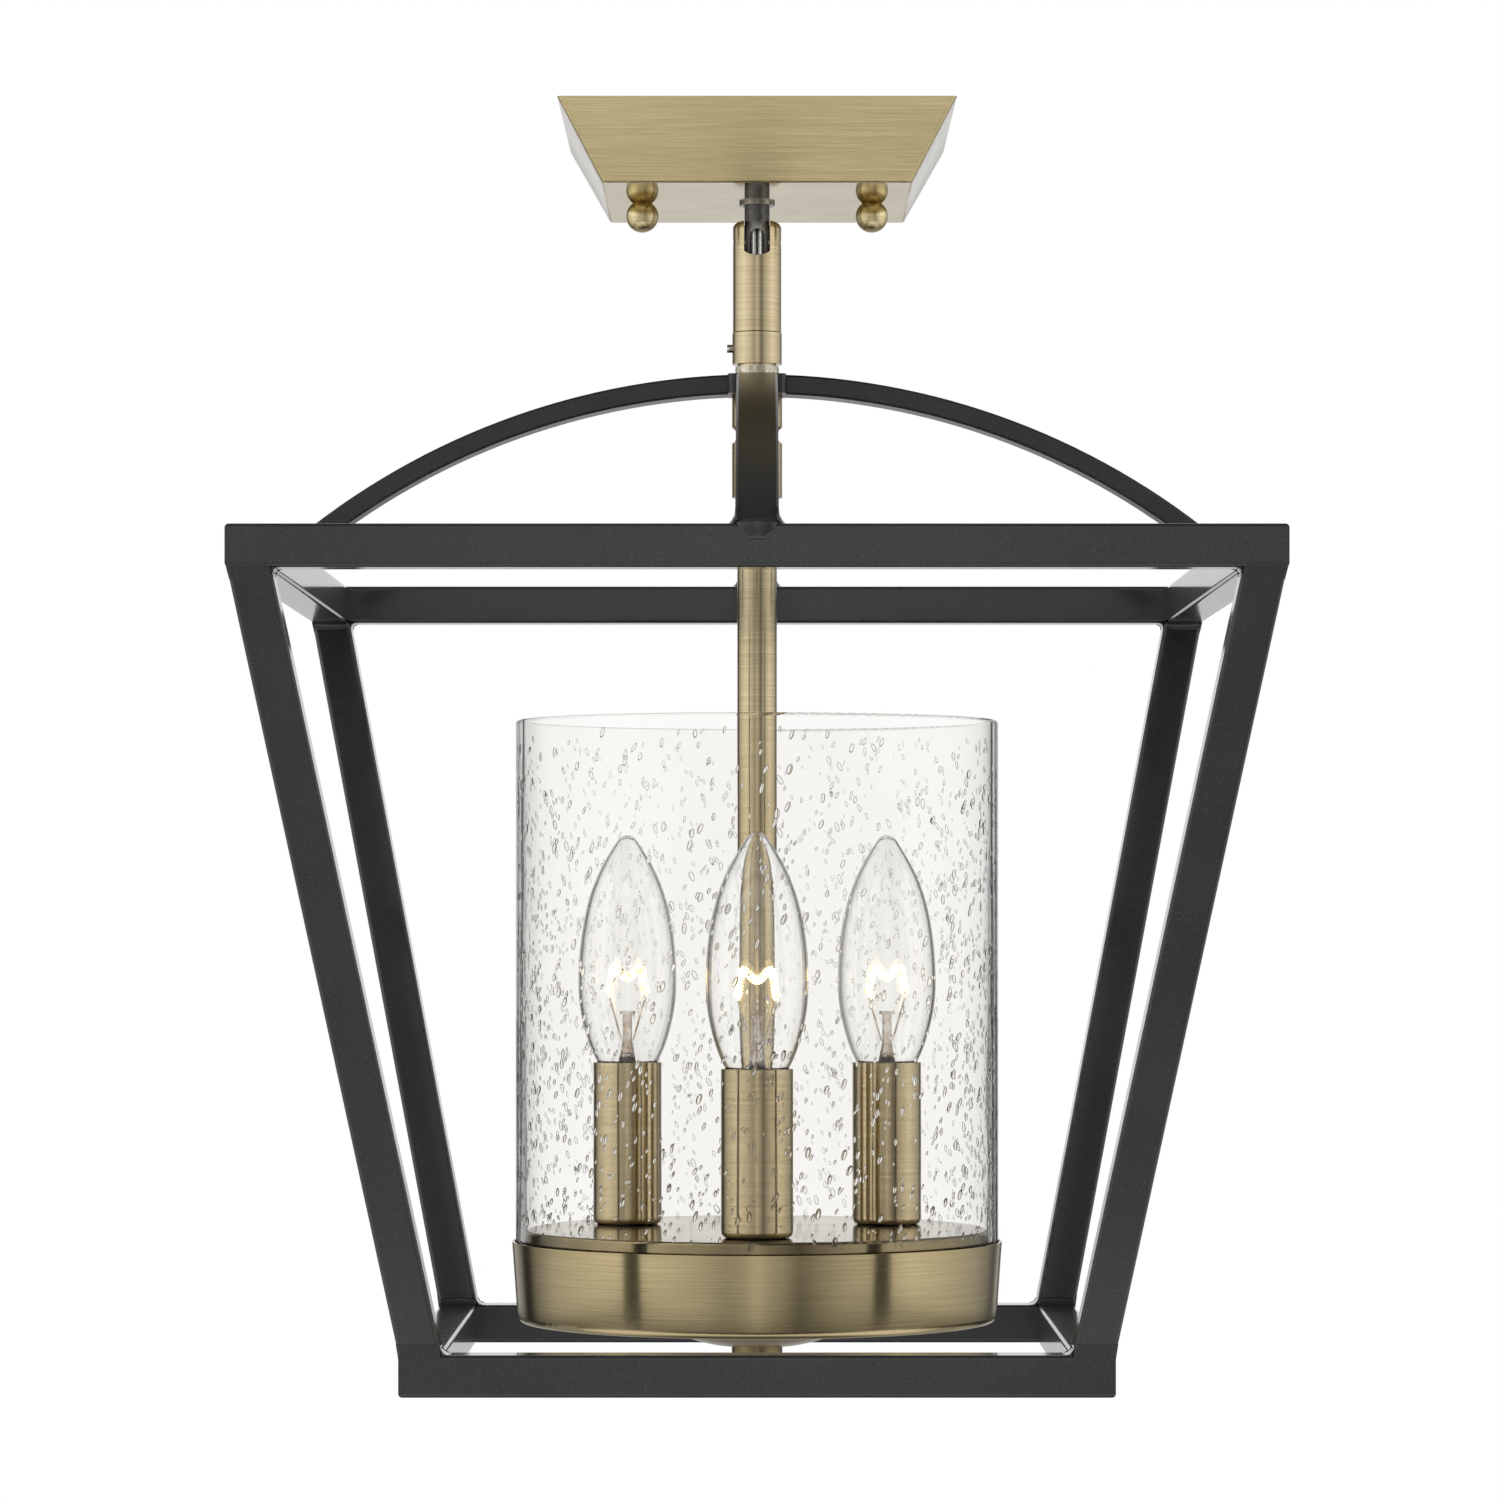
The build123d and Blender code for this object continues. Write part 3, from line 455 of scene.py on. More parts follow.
def paint_dark_edges(material, radius, wall, cut, edge):
    """Paints shade on a standing glass cylinder: dark on its cut rims and, on its outer face, where it turns
    away.
    """
    tree, shader, clear = base_colour(material)
    reach = length_of(tree, object_place(tree, (1, 1, 0)))
    outside = spread(tree, reach, radius - 0.8 * wall, radius - 0.2 * wall)
    edged = reckon(tree, "MULTIPLY", outside, turned_away(tree, *EDGE_TURN))
    level = reckon(tree, "ABSOLUTE", part_of(tree, true_normal(tree), "Z"))
    colour = blend_colour(tree, edged, clear, edge)
    colour = blend_colour(tree, spread(tree, level, 0.5, 0.9), colour, cut)
    set_sockets(tree, shader, Base_Color=colour)


# Painted shade on the bubble walls where they turn away, and the turning over which it comes
BUBBLE_PAINTED_SHADE = (0.22, 0.22, 0.22)
BUBBLE_FACE = (0.92, 0.92, 0.91)
BUBBLE_SHADE_TURN = (0.24, 0.5)


def bubble_glass(name, ior):
    """Wall of a bubble: clear where it is faced, with painted shade where it turns away."""
    material, tree, shader = new_material(name)
    cloud = noise(tree, (250, 250, 250), detail=1)
    face = blend_colour(tree, graded(tree, cloud), BUBBLE_FACE, (1, 1, 1))
    colour = blend_colour(tree, turned_away(tree, *BUBBLE_SHADE_TURN), face, BUBBLE_PAINTED_SHADE)
    set_sockets(tree, shader, Base_Color=colour, Transmission_Weight=1.0, Roughness=0.0, IOR=ior)
    return material


@piece_operator
class LIGHT_OT_brass(bpy.types.Operator):
    """Brushed aged brass on the canopy, swivel, stem, sleeves and cup"""

    bl_idname = "ceiling_light.brass"
    bl_label = "Brass finishes"

    def execute(self, context):
        # Each brass's tone paints in light or shade on that part: above 1 brighter, below 1 darker.
        sheet = brushed_brass(
            "brass_canopy", roughness=0.3, stretch=0.8, painted_light_tone=(1.28, 1.28, 1.3), streak=(30, 30, 2400),
            flat=True)
        turned = brushed_brass(
            "brass_turned", roughness=0.18, stretch=0.85, painted_light_tone=(1.06, 1.07, 1.24), streak=(14, 14, 950))
        cup = brushed_brass("brass_cup", roughness=0.20, stretch=0.82, painted_light_tone=(1, 1, 1.05))
        disc = brushed_brass("brass_disc", roughness=0.25, stretch=0.5, painted_light_tone=(0.6, 0.58, 0.55))
        ball = brushed_brass(
            "brass_knob", roughness=0.30, stretch=0.0, painted_light_tone=(1.35, 1.38, 1.45), streak=(60, 60, 900))
        plate = brushed_brass(
            "brass_plate", roughness=0.12, stretch=0.2, painted_light_tone=(0.62, 0.62, 0.66), streak=(40, 40, 40))
        shell = plated_metal(
            "brass_shell", light=(0.70, 0.52, 0.24), shade=(0.55, 0.40, 0.18), roughness=0.3)
        ring = plated_metal(
            "ring_metal", light=(0.62, 0.58, 0.48), shade=(0.36, 0.32, 0.24), roughness=0.30, grain=900)
        dress(["canopy_shell"], sheet)
        dress(nodes_named("candle_sleeve"), turned)
        dress(["swivel_fork", "collar", "upper_coupling", "lower_coupling", "stem_tube"], turned)
        dress(["cup"], cup)
        dress(["bottom_disc", "finial"], disc)
        dress(nodes_named("canopy_knob"), ball)
        dress(["socket_plate"], plate)
        dress(["socket_shells"], shell)
        dress(["lock_ring"], ring)
        return {"FINISHED"}


@piece_operator
class LIGHT_OT_paint(bpy.types.Operator):
    """Satin black on the arms and the cage"""

    bl_idname = "ceiling_light.paint"
    bl_label = "Cage paint"

    def execute(self, context):
        dress(nodes_named("top_bar", "bottom_bar", "post_"), satin_paint("cage_paint", gloss=1.0, blur=0.10))
        dress([*nodes_named("arch_arm"), "hub"], satin_paint("arm_paint", gloss=0.6, blur=0.30))
        return {"FINISHED"}


FORK_FADE = 3 * MM
# Pale matt grey painted as light where the nipple sits deep in the fork's slot
PAINTED_RECESS_GREY = (0.40, 0.40, 0.40)


@piece_operator
class LIGHT_OT_hardware(bpy.types.Operator):
    """Plated steel, sockets, leads and the ground screw"""

    bl_idname = "ceiling_light.hardware"
    bl_label = "Hardware finishes"

    def execute(self, context):
        zinc = plated_metal("zinc_plate", light=(0.66, 0.67, 0.69), shade=(0.50, 0.51, 0.53), roughness=0.3)
        screw = plated_metal(
            "screw_steel", light=(0.48, 0.46, 0.42), shade=(0.26, 0.25, 0.22), roughness=0.30, grain=900)
        gunmetal = plated_metal(
            "gunmetal_plate", light=(0.16, 0.163, 0.167), shade=(0.09, 0.092, 0.095), roughness=0.32,
            grain=700)
        # Painted light: below the fork's top the nipple turns pale grey inside the slot.
        painted_light_below(gunmetal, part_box("swivel_fork")[1][2], FORK_FADE, PAINTED_RECESS_GREY)
        washer = plated_metal(
            "washer_plate", light=(0.36, 0.35, 0.32), shade=(0.20, 0.19, 0.17), roughness=0.25, grain=700)
        tin = plated_metal(
            "lead_tin", light=(0.94, 0.94, 0.93), shade=(0.74, 0.74, 0.74), roughness=0.22, grain=900)
        socket = moulded_plastic(
            "socket_moulding", light=(0.03, 0.028, 0.026), shade=(0.012, 0.012, 0.012), roughness=0.5)
        green = moulded_plastic(
            "ground_green", light=(0.06, 0.34, 0.12), shade=(0.03, 0.22, 0.07), roughness=0.35)
        dress(["box_strap", "stud_strap", "strap_eyelet", "canopy_studs", "nipple_locknut"], zinc)
        dress(["hub_nipple", "bottom_nipple", "socket_bolts", "pivot_pins", "cup_spacer"], zinc)
        dress(["set_screw"], screw)
        dress(["swivel_nipple"], gunmetal)
        dress(["nipple_washer"], washer)
        dress(["upper_leads"], tin)
        dress(["socket_bodies"], socket)
        dress(["ground_screw"], green)
        return {"FINISHED"}


GLASS_WALL = 2.8 * MM
SHADE_SHARE = 0.965
RIM_SHADE_SHARE = 0.95
# Painted shade on the glass cylinder's cut rims, and where its outer face turns away
CUT_RIM_SHADE = (0.35, 0.36, 0.36)
OUTER_EDGE_SHADE = (0.15, 0.15, 0.15)


@piece_operator
class LIGHT_OT_seeded_glass(bpy.types.Operator):
    """Glass cylinder with bubbles in its wall"""

    bl_idname = "ceiling_light.seeded_glass"
    bl_label = "Seeded glass"

    def execute(self, context):
        finish = context.scene.light_finish
        shade = [SHADE_SHARE * part for part in finish.glass]
        # A slightly darker colour for the painted shade where the glass turns away.
        rim_shade = [RIM_SHADE_SHARE * part for part in finish.glass]
        clear = clear_glass(
            "seeded_glass", finish.glass, shade, rim_shade, ior=1.12, wave=(22, 22, 9), depth=2 * MM, smoke=1.5)
        low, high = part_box("glass_cylinder")
        paint_dark_edges(clear, (high[0] - low[0]) / 2, GLASS_WALL, CUT_RIM_SHADE, OUTER_EDGE_SHADE)
        dress(["glass_cylinder"], clear)
        bubble = bubble_glass("seed_glass", ior=1.18)
        make_piece("glass_seeds", seeds_surface(context.scene.light_seeds), bubble, "glass")
        return {"FINISHED"}


RIM_CLEAR = 4 * MM
CROWDING = 0.8
LENGTH_SPREAD = 0.36
LENGTH_LIMITS = (0.45, 1.9)
WIDTH_SHARES = (0.34, 0.52)
LEAN_SPREAD = math.radians(9)
DEEPEST_SHARE = 0.3
WALL_CLEAR = 2.4


def seeds_surface(seeds):
    """Each bubble is a ball stretched to width, depth and length, leaned in the wall and set at an angle,
    height and depth of the wall. Heights crowd to the foot: height = low + span (1 - u ** crowding)."""
    low, high = node_box("glass_cylinder")
    span = high[2] - low[2] - 2 * RIM_CLEAR
    draw = np.random.default_rng(seeds.draw)
    count = seeds.count
    angle = draw.uniform(0, TURN, count)
    height = low[2] + RIM_CLEAR + span * (1 - draw.uniform(0, 1, count) ** CROWDING)
    length = seeds.length * np.clip(draw.lognormal(0, LENGTH_SPREAD, count), *LENGTH_LIMITS)
    width = length * draw.uniform(*WIDTH_SHARES, count)
    lean = seeds.lean + draw.normal(0, LEAN_SPREAD, count)
    deep = np.minimum(width, DEEPEST_SHARE * GLASS_WALL)
    mid_wall = (high[0] - low[0] - GLASS_WALL) / 2
    radius = mid_wall + draw.uniform(-0.5, 0.5, count) * (GLASS_WALL - WALL_CLEAR * deep)
    outward = np.stack([np.cos(angle), np.sin(angle), 0 * angle], axis=-1)
    sideways = np.stack([-np.sin(angle), np.cos(angle), 0 * angle], axis=-1)
    upward = np.broadcast_to([0.0, 0.0, 1.0], outward.shape)
    axis = np.cos(lean)[:, None] * upward + np.sin(lean)[:, None] * sideways
    flank = np.cos(lean)[:, None] * sideways - np.sin(lean)[:, None] * upward
    ball, walls, ends = unit_ball(rings=4, sides=6)
    points = (radius[:, None] * outward + height[:, None] * upward)[:, None]
    points = points + (width[:, None] * flank)[:, None] * ball[None, :, 0:1]
    points = points - (deep[:, None] * outward)[:, None] * ball[None, :, 1:2]
    points = points + (length[:, None] * axis)[:, None] * ball[None, :, 2:3]
    base = (np.arange(count) * len(ball))[:, None, None]
    return points.reshape(-1, 3), (walls + base).reshape(-1, 4), (ends + base).reshape(-1, 3)


@piece_operator
class LIGHT_OT_bulbs(bpy.types.Operator):
    """Clear bulbs with nickel bases and lit, coiled filaments"""

    bl_idname = "ceiling_light.bulbs"
    bl_label = "Bulbs"

    def execute(self, context):
        finish = context.scene.light_finish
        # The third colour is painted shade: a dark outline where the bulb's glass turns away.
        tint, shade, rim_shade = (1, 1, 0.995), (0.985, 0.985, 0.98), (0.30, 0.27, 0.22)
        clear = clear_glass(
            "bulb_glass", tint, shade, rim_shade, ior=1.45, wave=(40, 40, 40), depth=0.3 * MM, smoke=12.0)
        dress(nodes_named("bulb_envelope"), clear)
        nickel = plated_metal(
            "bulb_nickel", light=(0.72, 0.71, 0.68), shade=(0.55, 0.54, 0.51), roughness=0.25)
        dress(nodes_named("bulb_base"), nickel)
        glow = filament_glow(finish)
        for lamp in LAMPS:
            dress([f"bulb_mount_{lamp}"], lamp_stem(lamp, finish))
            make_piece(f"filament_{lamp}", filament_surface(lamp), glow, f"bulb_{lamp}")
        return {"FINISHED"}


FILAMENT_HEIGHT = 8.4 * MM
FILAMENT_DIP = 3.2 * MM
HUMP_SHARE = 0.7
COIL_RADIUS = 1.05 * MM
COIL_WIRE = 0.33 * MM
COIL_TURNS = 40
TURN_STEPS = 12
LIT_RUN = 1.5 * MM
FOOT_INSET = 0.3 * MM
AMBER = (0.6, 0.4, 0.2)


def filament_glow(finish):
    """Lit wire, amber where it is cooler."""
    material, tree, shader = new_material("filament_glow")
    heat = noise(tree, (420, 420, 420), detail=1)
    amber = [share * part for share, part in zip(AMBER, finish.filament)]
    colour = blend_colour(tree, spread(tree, heat, 0.3, 0.6), amber, finish.filament)
    set_sockets(tree, shader, Emission_Color=colour, Emission_Strength=finish.filament_light)
    set_sockets(tree, shader, Base_Color=(0.5, 0.42, 0.3, 1), Roughness=0.4)
    return material


def lamp_stem(lamp, finish):
    """Glass stem below, lit wire above: the wire glows from the filament's feet up."""
    material, tree, shader = new_material(f"bulb_stem_{lamp}")
    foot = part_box(f"bulb_mount_{lamp}")[1][2] - FILAMENT_HEIGHT
    lit = spread(tree, part_of(tree, object_place(tree), "Z"), foot - LIT_RUN, foot)
    seams = noise(tree, (450, 450, 220), detail=3)
    colour = blend_colour(tree, spread(tree, seams, 0.38, 0.62), (0.55, 0.40, 0.27), (0.99, 0.95, 0.90))
    glow = blend_colour(tree, lit, (0, 0, 0), finish.filament)
    set_sockets(tree, shader, Emission_Color=glow, Emission_Strength=finish.filament_light)
    set_sockets(tree, shader, Base_Color=colour, Roughness=0.08, Transmission_Weight=0.85, IOR=1.45)
    set_bump(tree, shader, seams, distance=2 * MM, strength=0.6)
    return material


def filament_surface(lamp):
    """Coil on a path of two low humps: heights ease from knot to knot by half a cosine, and the wire
    lies at centre + coil radius (cos(turns t) in the path's plane, sin(turns t) across it)."""
    low, high = node_box(f"bulb_mount_{lamp}")
    middle = (low + high) / 2
    span = (high[0] - low[0]) / 2 - FOOT_INSET
    top = high[2] - FOOT_INSET
    t = np.linspace(0, 1, COIL_TURNS * TURN_STEPS)
    knots = np.array([0, 0.3, 0.5, 0.7, 1])
    drops = np.array([FILAMENT_HEIGHT, 0, FILAMENT_DIP, 0, FILAMENT_HEIGHT])
    run = np.clip(np.searchsorted(knots, t, side="right") - 1, 0, len(knots) - 2)
    ease = 0.5 - 0.5 * np.cos(math.pi * (t - knots[run]) / (knots[run + 1] - knots[run]))
    rise = top - drops[run] - (drops[run + 1] - drops[run]) * ease
    across = middle[0] + span * np.interp(t, knots, [-1, -HUMP_SHARE, 0, HUMP_SHARE, 1])
    centre = np.stack([across, np.full_like(t, middle[1]), rise], axis=-1)
    along = np.gradient(centre, axis=0)
    along /= np.linalg.norm(along, axis=1, keepdims=True)
    depth = np.broadcast_to([0.0, 1.0, 0.0], centre.shape)
    flat = np.cross(along, depth)
    turn = (TURN * COIL_TURNS * t)[:, None]
    outward = np.cos(turn) * flat + np.sin(turn) * depth
    return tube_surface(centre + COIL_RADIUS * outward, outward, COIL_WIRE, sides=6)


@piece_operator
class LIGHT_OT_welds(bpy.types.Operator):
    """Painted welds where the arms stand on the top ring, and smooth corners at the ends of the posts"""

    bl_idname = "ceiling_light.welds"
    bl_label = "Welds"

    def execute(self, context):
        paint = bpy.data.materials["cage_paint"]
        for side, turns in SIDES.items():
            make_piece(f"weld_{side}", swung(weld_surface(), turns), paint, "lantern")
        for corner, turns in CORNERS.items():
            make_piece(f"fillet_{corner}", swung(post_fillets(), turns), paint, "lantern")
        return {"FINISHED"}


def swung(surface, turns):
    """Surface turned about the lamp's axis by a share of a turn."""
    points, walls, ends = surface
    c, s = math.cos(TURN * turns), math.sin(TURN * turns)
    return points @ np.array([[c, s, 0], [-s, c, 0], [0, 0, 1]]), walls, ends


BEAD_HALF_WIDTH = 5.8 * MM
BEAD_PROUD = 1.3 * MM
BEAD_BELOW = 4.7 * MM
BEAD_ABOVE = 1.6 * MM
BEAD_DROP = 0.2 * MM
BEAD_RIPPLE = 0.05
BEAD_RIPPLES = 9


def weld_surface():
    """Front weld: a ball flattened to a rippled bead on the bar's face, taller below its edge than above,
    and a hollow fillet in the corner at each side of the arm."""
    low, high = node_box("top_bar_front")
    arm_low, arm_high = node_box("arch_arm_front")
    face, edge = low[1], high[2]
    ball, walls, ends = unit_ball(rings=12, sides=28)
    x, y, z = ball.T
    ripple = 1 + BEAD_RIPPLE * np.cos(BEAD_RIPPLES * np.arctan2(x, z))
    rise = np.where(z < 0, BEAD_BELOW, BEAD_ABOVE) * z * ripple
    bead = [BEAD_HALF_WIDTH * x * ripple, face + BEAD_PROUD * y, edge - BEAD_DROP + rise]
    left = corner_fillet(arm_low[0], -1, arm_low[1], edge)
    right = corner_fillet(arm_high[0], 1, arm_low[1], edge)
    return joined([(np.stack(bead, axis=-1), walls, ends), left, right])


FLARE_SIZE = 3.2 * MM
FLARE_STRETCH = 1.7
FLARE_START = 0.6 * MM
FLARE_LENGTH = 10 * MM
FLARE_SUNK = 0.6 * MM


def corner_fillet(corner, side, front, edge):
    """Hollow fillet along Y: x = corner + side r (1 - sin a), z = edge + stretch r (1 - cos a), with a from
    0 to a quarter turn and back through the corner. r swells and shrinks along it as the root of a sine."""
    along = np.linspace(0, 1, 24)[:, None]
    size = FLARE_SIZE * np.sqrt(np.sin(math.pi * (0.04 + 0.92 * along)))
    a = np.linspace(0, math.pi / 2, 9)[None, :]
    x = corner + side * size * (1 - np.sin(a))
    z = edge + FLARE_STRETCH * size * (1 - np.cos(a))
    inside = np.full_like(along, corner - side * FLARE_SUNK)
    under = np.full_like(along, edge - FLARE_SUNK)
    x = np.concatenate([x, inside, inside, x[:, :1]], axis=1)
    z = np.concatenate([z, z[:, -1:], under, under], axis=1)
    y = front + FLARE_START + FLARE_LENGTH * along + 0 * x
    rings = np.stack([x, y, z], axis=-1)
    return closed_rings(rings if side > 0 else rings[:, ::-1])


POST_SIZE = 12.9 * MM
POST_EDGE = 0.4 * MM
FILLET_REACH = 2.6 * MM
FILLET_BACK = 0.4 * MM


def post_fillets():
    """Fillets inside the front left post and fillers outside it, two of each at its head and its foot."""
    low, high = node_box("post_front_left")
    top_face, bottom_face = (-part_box(f"{ring}_bar_front")[0][1] for ring in ("top", "bottom"))
    head, foot = -low[0] - POST_SIZE, -high[0]
    lean = (head - foot) / (high[2] - low[2])
    post_ends = ((head, top_face, high[2], lean, -1), (foot, bottom_face, low[2], -lean, 1))
    parts = []
    for across in (False, True):
        for inner, face, level, way, rise in post_ends:
            parts.append(post_fillet(inner, level, way, rise, across))
            parts.append(post_filler(inner, face, level, way, rise, across))
    return joined(parts)


def post_fillet(inner, level, lean, rise, across):
    """Hollow fillet along Y, or X, from a level bar to a leaning post: P + s ((1 - t)^2 u + t^2 v), with u
    along the bar and v up or down the post. s is a root of a sine along it; its back lies behind P."""
    along = np.linspace(0, 1, 20)[:, None]
    size = FILLET_REACH * np.sin(math.pi * (0.1 + 0.8 * along)) ** 0.25
    t = np.linspace(0, 1, 9)[None, :]
    root = np.full_like(along, FILLET_BACK)
    x = np.concatenate([size * ((1 - t) ** 2 + lean * t ** 2), -root], axis=1) - inner
    z = np.concatenate([size * rise * t ** 2, -rise * root], axis=1) + level
    y = POST_EDGE - inner - POST_SIZE + (POST_SIZE - 2 * POST_EDGE) * along + 0 * x
    rings = np.stack([y, x, z] if across else [x, y, z], axis=-1)
    return closed_rings(rings[:, ::-1] if across == (rise < 0) else rings)


TUBE_EDGE = 1.4 * MM
FILLER_RUN = 3.5 * MM
FILLER_DEPTH = 1.0 * MM
FILLER_SKIN = 0.03 * MM
CRISP = np.array([0, 0.02, 0.98, 1])


def post_filler(inner, face, level, lean, rise, across):
    """Flat skin over the groove between a bar's outer face and a post's: the line A + t (B - A) from the
    bar to the post and back behind it, drawn along X, or Y, and sheared by the post's lean."""
    heights = level + rise * np.array([-TUBE_EDGE, FILLER_RUN])
    depths = np.array([face, inner + POST_SIZE - lean * FILLER_RUN]) + FILLER_SKIN
    z = heights[0] + CRISP * (heights[1] - heights[0])
    out = depths[0] + CRISP * (depths[1] - depths[0])
    z, out = np.append(z, z[::-1]), np.append(out, out[::-1] - FILLER_DEPTH)
    run = (POST_SIZE - 2 * POST_EDGE) * CRISP[:, None]
    x = POST_EDGE - inner - POST_SIZE + run + lean * rise * (z - level)
    y, z = (np.broadcast_to(row, x.shape) for row in (-out, z))
    rings = np.stack([y, x, z] if across else [x, y, z], axis=-1)
    return closed_rings(rings if across == (rise > 0) else rings[:, ::-1])


@piece_operator
class LIGHT_OT_swivel_discs(bpy.types.Operator):
    """Thin dark discs between the nipple and the fork, one on each side"""

    bl_idname = "ceiling_light.shims"
    bl_label = "Swivel discs"

    def execute(self, context):
        surface = joined([swivel_disc_surface(side) for side in (-1, 1)])
        dark = bpy.data.materials["socket_moulding"]
        make_piece("swivel_discs", surface, dark, "swivel_fork")
        return {"FINISHED"}


DISC_RADIUS = 5.6 * MM
DISC_SHEET = 0.10 * MM
DISC_GAP = 0.02 * MM


def swivel_disc_surface(side):
    """Disc about the pivot's axis: rings at (x, r cos c, pivot + r sin c) at its two faces."""
    low, high = node_box("pivot_pins")
    pivot = (low[2] + high[2]) / 2
    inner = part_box("swivel_nipple")[1][0] + DISC_GAP
    x = side * np.array([inner, inner + DISC_SHEET])[:, None]
    c = np.linspace(0, TURN, 40, endpoint=False)[None, :]
    y, z = DISC_RADIUS * np.cos(c), pivot + DISC_RADIUS * np.sin(c)
    rings = np.stack(np.broadcast_arrays(x, y, z), axis=-1)
    return closed_rings(rings if side > 0 else rings[:, ::-1])


# Studio


@piece_operator
class LIGHT_OT_studio(bpy.types.Operator):
    """Pale floor, soft lights, white surroundings and the camera"""

    bl_idname = "ceiling_light.studio"
    bl_label = "Studio"

    def execute(self, context):
        studio = context.scene.light_studio
        context.scene.view_settings.view_transform = "Standard"
        add_floor(studio)
        add_lights()
        add_surroundings(context.scene, studio)
        add_camera(context.scene, studio)
        return {"FINISHED"}


def ray_share(tree, *kinds):
    """1 for rays of the named kinds, and 0 for the others."""
    path = add(tree, "ShaderNodeLightPath")
    share = path.outputs[f"Is {kinds[0]} Ray"]
    for kind in kinds[1:]:
        share = reckon(tree, "MAXIMUM", share, path.outputs[f"Is {kind} Ray"])
    return share


def mirror_share(tree):
    """1 for rays that metal or gloss threw back, also where they went on through glass, or else 0."""
    depth = add(tree, "ShaderNodeLightPath").outputs["Glossy Depth"]
    return reckon(tree, "MULTIPLY", depth, ray_share(tree, "Glossy", "Transmission"), use_clamp=True)


# Brightness of the studio as metal shows it, by degrees to the right of the camera
ROUND_VIEW = (
    (-180, 0.72), (-165, 0.55), (-149, 0.32), (-143, 0.03), (-136, 0.03), (-129, 0.30), (-110, 0.75),
    (-80, 1.1), (-65, 1.2), (-40, 0.95), (-26, 0.75), (-14, 0.52), (-5, 0.62), (0, 0.90), (5, 0.62),
    (12, 0.50), (20, 0.20), (28, 0.42), (42, 0.72), (60, 0.92), (76, 1.15), (100, 0.90), (125, 0.58),
    (140, 0.30), (150, 0.08), (158, 0.45), (180, 0.72),
)
BRIGHTEST = 1.25


def studio_round(tree, way):
    """Brightness of the studio in a direction, by its angle round the lamp's axis."""
    ahead = reckon(tree, "MULTIPLY", part_of(tree, way, "Y"), -1.0)
    around = reckon(tree, "ARCTAN2", part_of(tree, way, "X"), ahead)
    ramp = add(tree, "ShaderNodeValToRGB", {0: spread(tree, around, -math.pi, math.pi)})
    stops = ramp.color_ramp.elements
    for number, (degrees, level) in enumerate(ROUND_VIEW):
        stop = stops[number] if number < 2 else stops.new(1)
        stop.position = (degrees + 180) / 360
        stop.color = (*[level / BRIGHTEST] * 3, 1)
    return reckon(tree, "MULTIPLY", ramp.outputs["Color"], BRIGHTEST)


FLOOR_REACH = 30.0
FLOOR_PALE = (0.90, 0.90, 0.90)
FLOOR_GRAIN = (0.86, 0.86, 0.86)
SHADOW_REACH = (0.35, 1.1)
SHADOW_SHARE = 0.45
DARK_REACH = (0.2, 0.45)
DARK_LEVEL = 0.12
PLAIN_REACH = (1.0, 1.35)
PLAIN_LEVEL = 1.25
BEHIND_LEVEL = 0.45
BEHIND_REACH = (-0.05, 0.3)


def add_floor(studio):
    """Wide level square below the lamp."""
    reach = np.array([-FLOOR_REACH, FLOOR_REACH])
    x, y = np.meshgrid(reach, reach)
    height = CAD_LOW[2] - studio.floor_drop
    points = np.stack([x, y, np.full_like(x, height)], axis=-1).reshape(-1, 3)
    mesh = bpy.data.meshes.new("floor")
    mesh.from_pydata(points.tolist(), [], [(0, 1, 3, 2)])
    mesh.materials.append(floor_white())
    floor = bpy.data.objects.new("floor", mesh)
    bpy.context.scene.collection.objects.link(floor)


def floor_white():
    """Matt white with a faint grain, clear from below. Near the lamp it takes a soft shadow; further out it
    fades to plain white. Metal sees it dark straight below, plain round that, and as bright as the studio
    far out."""
    material, tree, shader = new_material("floor_white")
    grain = noise(tree, (40, 40, 40), detail=2)
    colour = blend_colour(tree, grain, FLOOR_GRAIN, FLOOR_PALE)
    set_sockets(tree, shader, Base_Color=colour, Roughness=0.9, Specular_IOR_Level=0.0)
    level = object_place(tree, (1, 1, 0))
    distance = length_of(tree, level)
    mirror = mirror_share(tree)
    faded = spread(tree, distance, *SHADOW_REACH, 1 - SHADOW_SHARE, 1.0)
    seen = reckon(tree, "MULTIPLY", faded, ray_share(tree, "Camera", "Transmission"))
    share = reckon(tree, "MAXIMUM", seen, mirror)
    plain = spread(tree, part_of(tree, level, "Y"), *BEHIND_REACH, PLAIN_LEVEL, BEHIND_LEVEL)
    near = spread(tree, distance, *DARK_REACH, DARK_LEVEL, plain)
    metal = blend_colour(tree, spread(tree, distance, *PLAIN_REACH), near, studio_round(tree, level))
    glow = add(tree, "ShaderNodeEmission", {"Color": blend_colour(tree, mirror, (1, 1, 1), metal)})
    lit = add(tree, "ShaderNodeMixShader", {0: share, 1: shader.outputs[0], 2: glow.outputs[0]})
    under = add(tree, "ShaderNodeNewGeometry").outputs["Backfacing"]
    clear = add(tree, "ShaderNodeBsdfTransparent").outputs[0]
    both = add(tree, "ShaderNodeMixShader", {0: under, 1: lit.outputs[0], 2: clear})
    set_sockets(tree, tree.nodes["Material Output"], Surface=both.outputs[0])
    return material


# Name, place, width, height and power of each light, and the point that they face
PANELS = (
    ("panel_left", (-1.5, -1.3, 0.1), 1.0, 1.6, 16),
    ("panel_right", (1.5, -1.3, 0.0), 1.0, 1.6, 12),
    ("panel_back", (0.2, 1.7, 0.6), 2.0, 1.2, 14),
)
PANEL_AIM = (0.0, 0.0, -0.22)


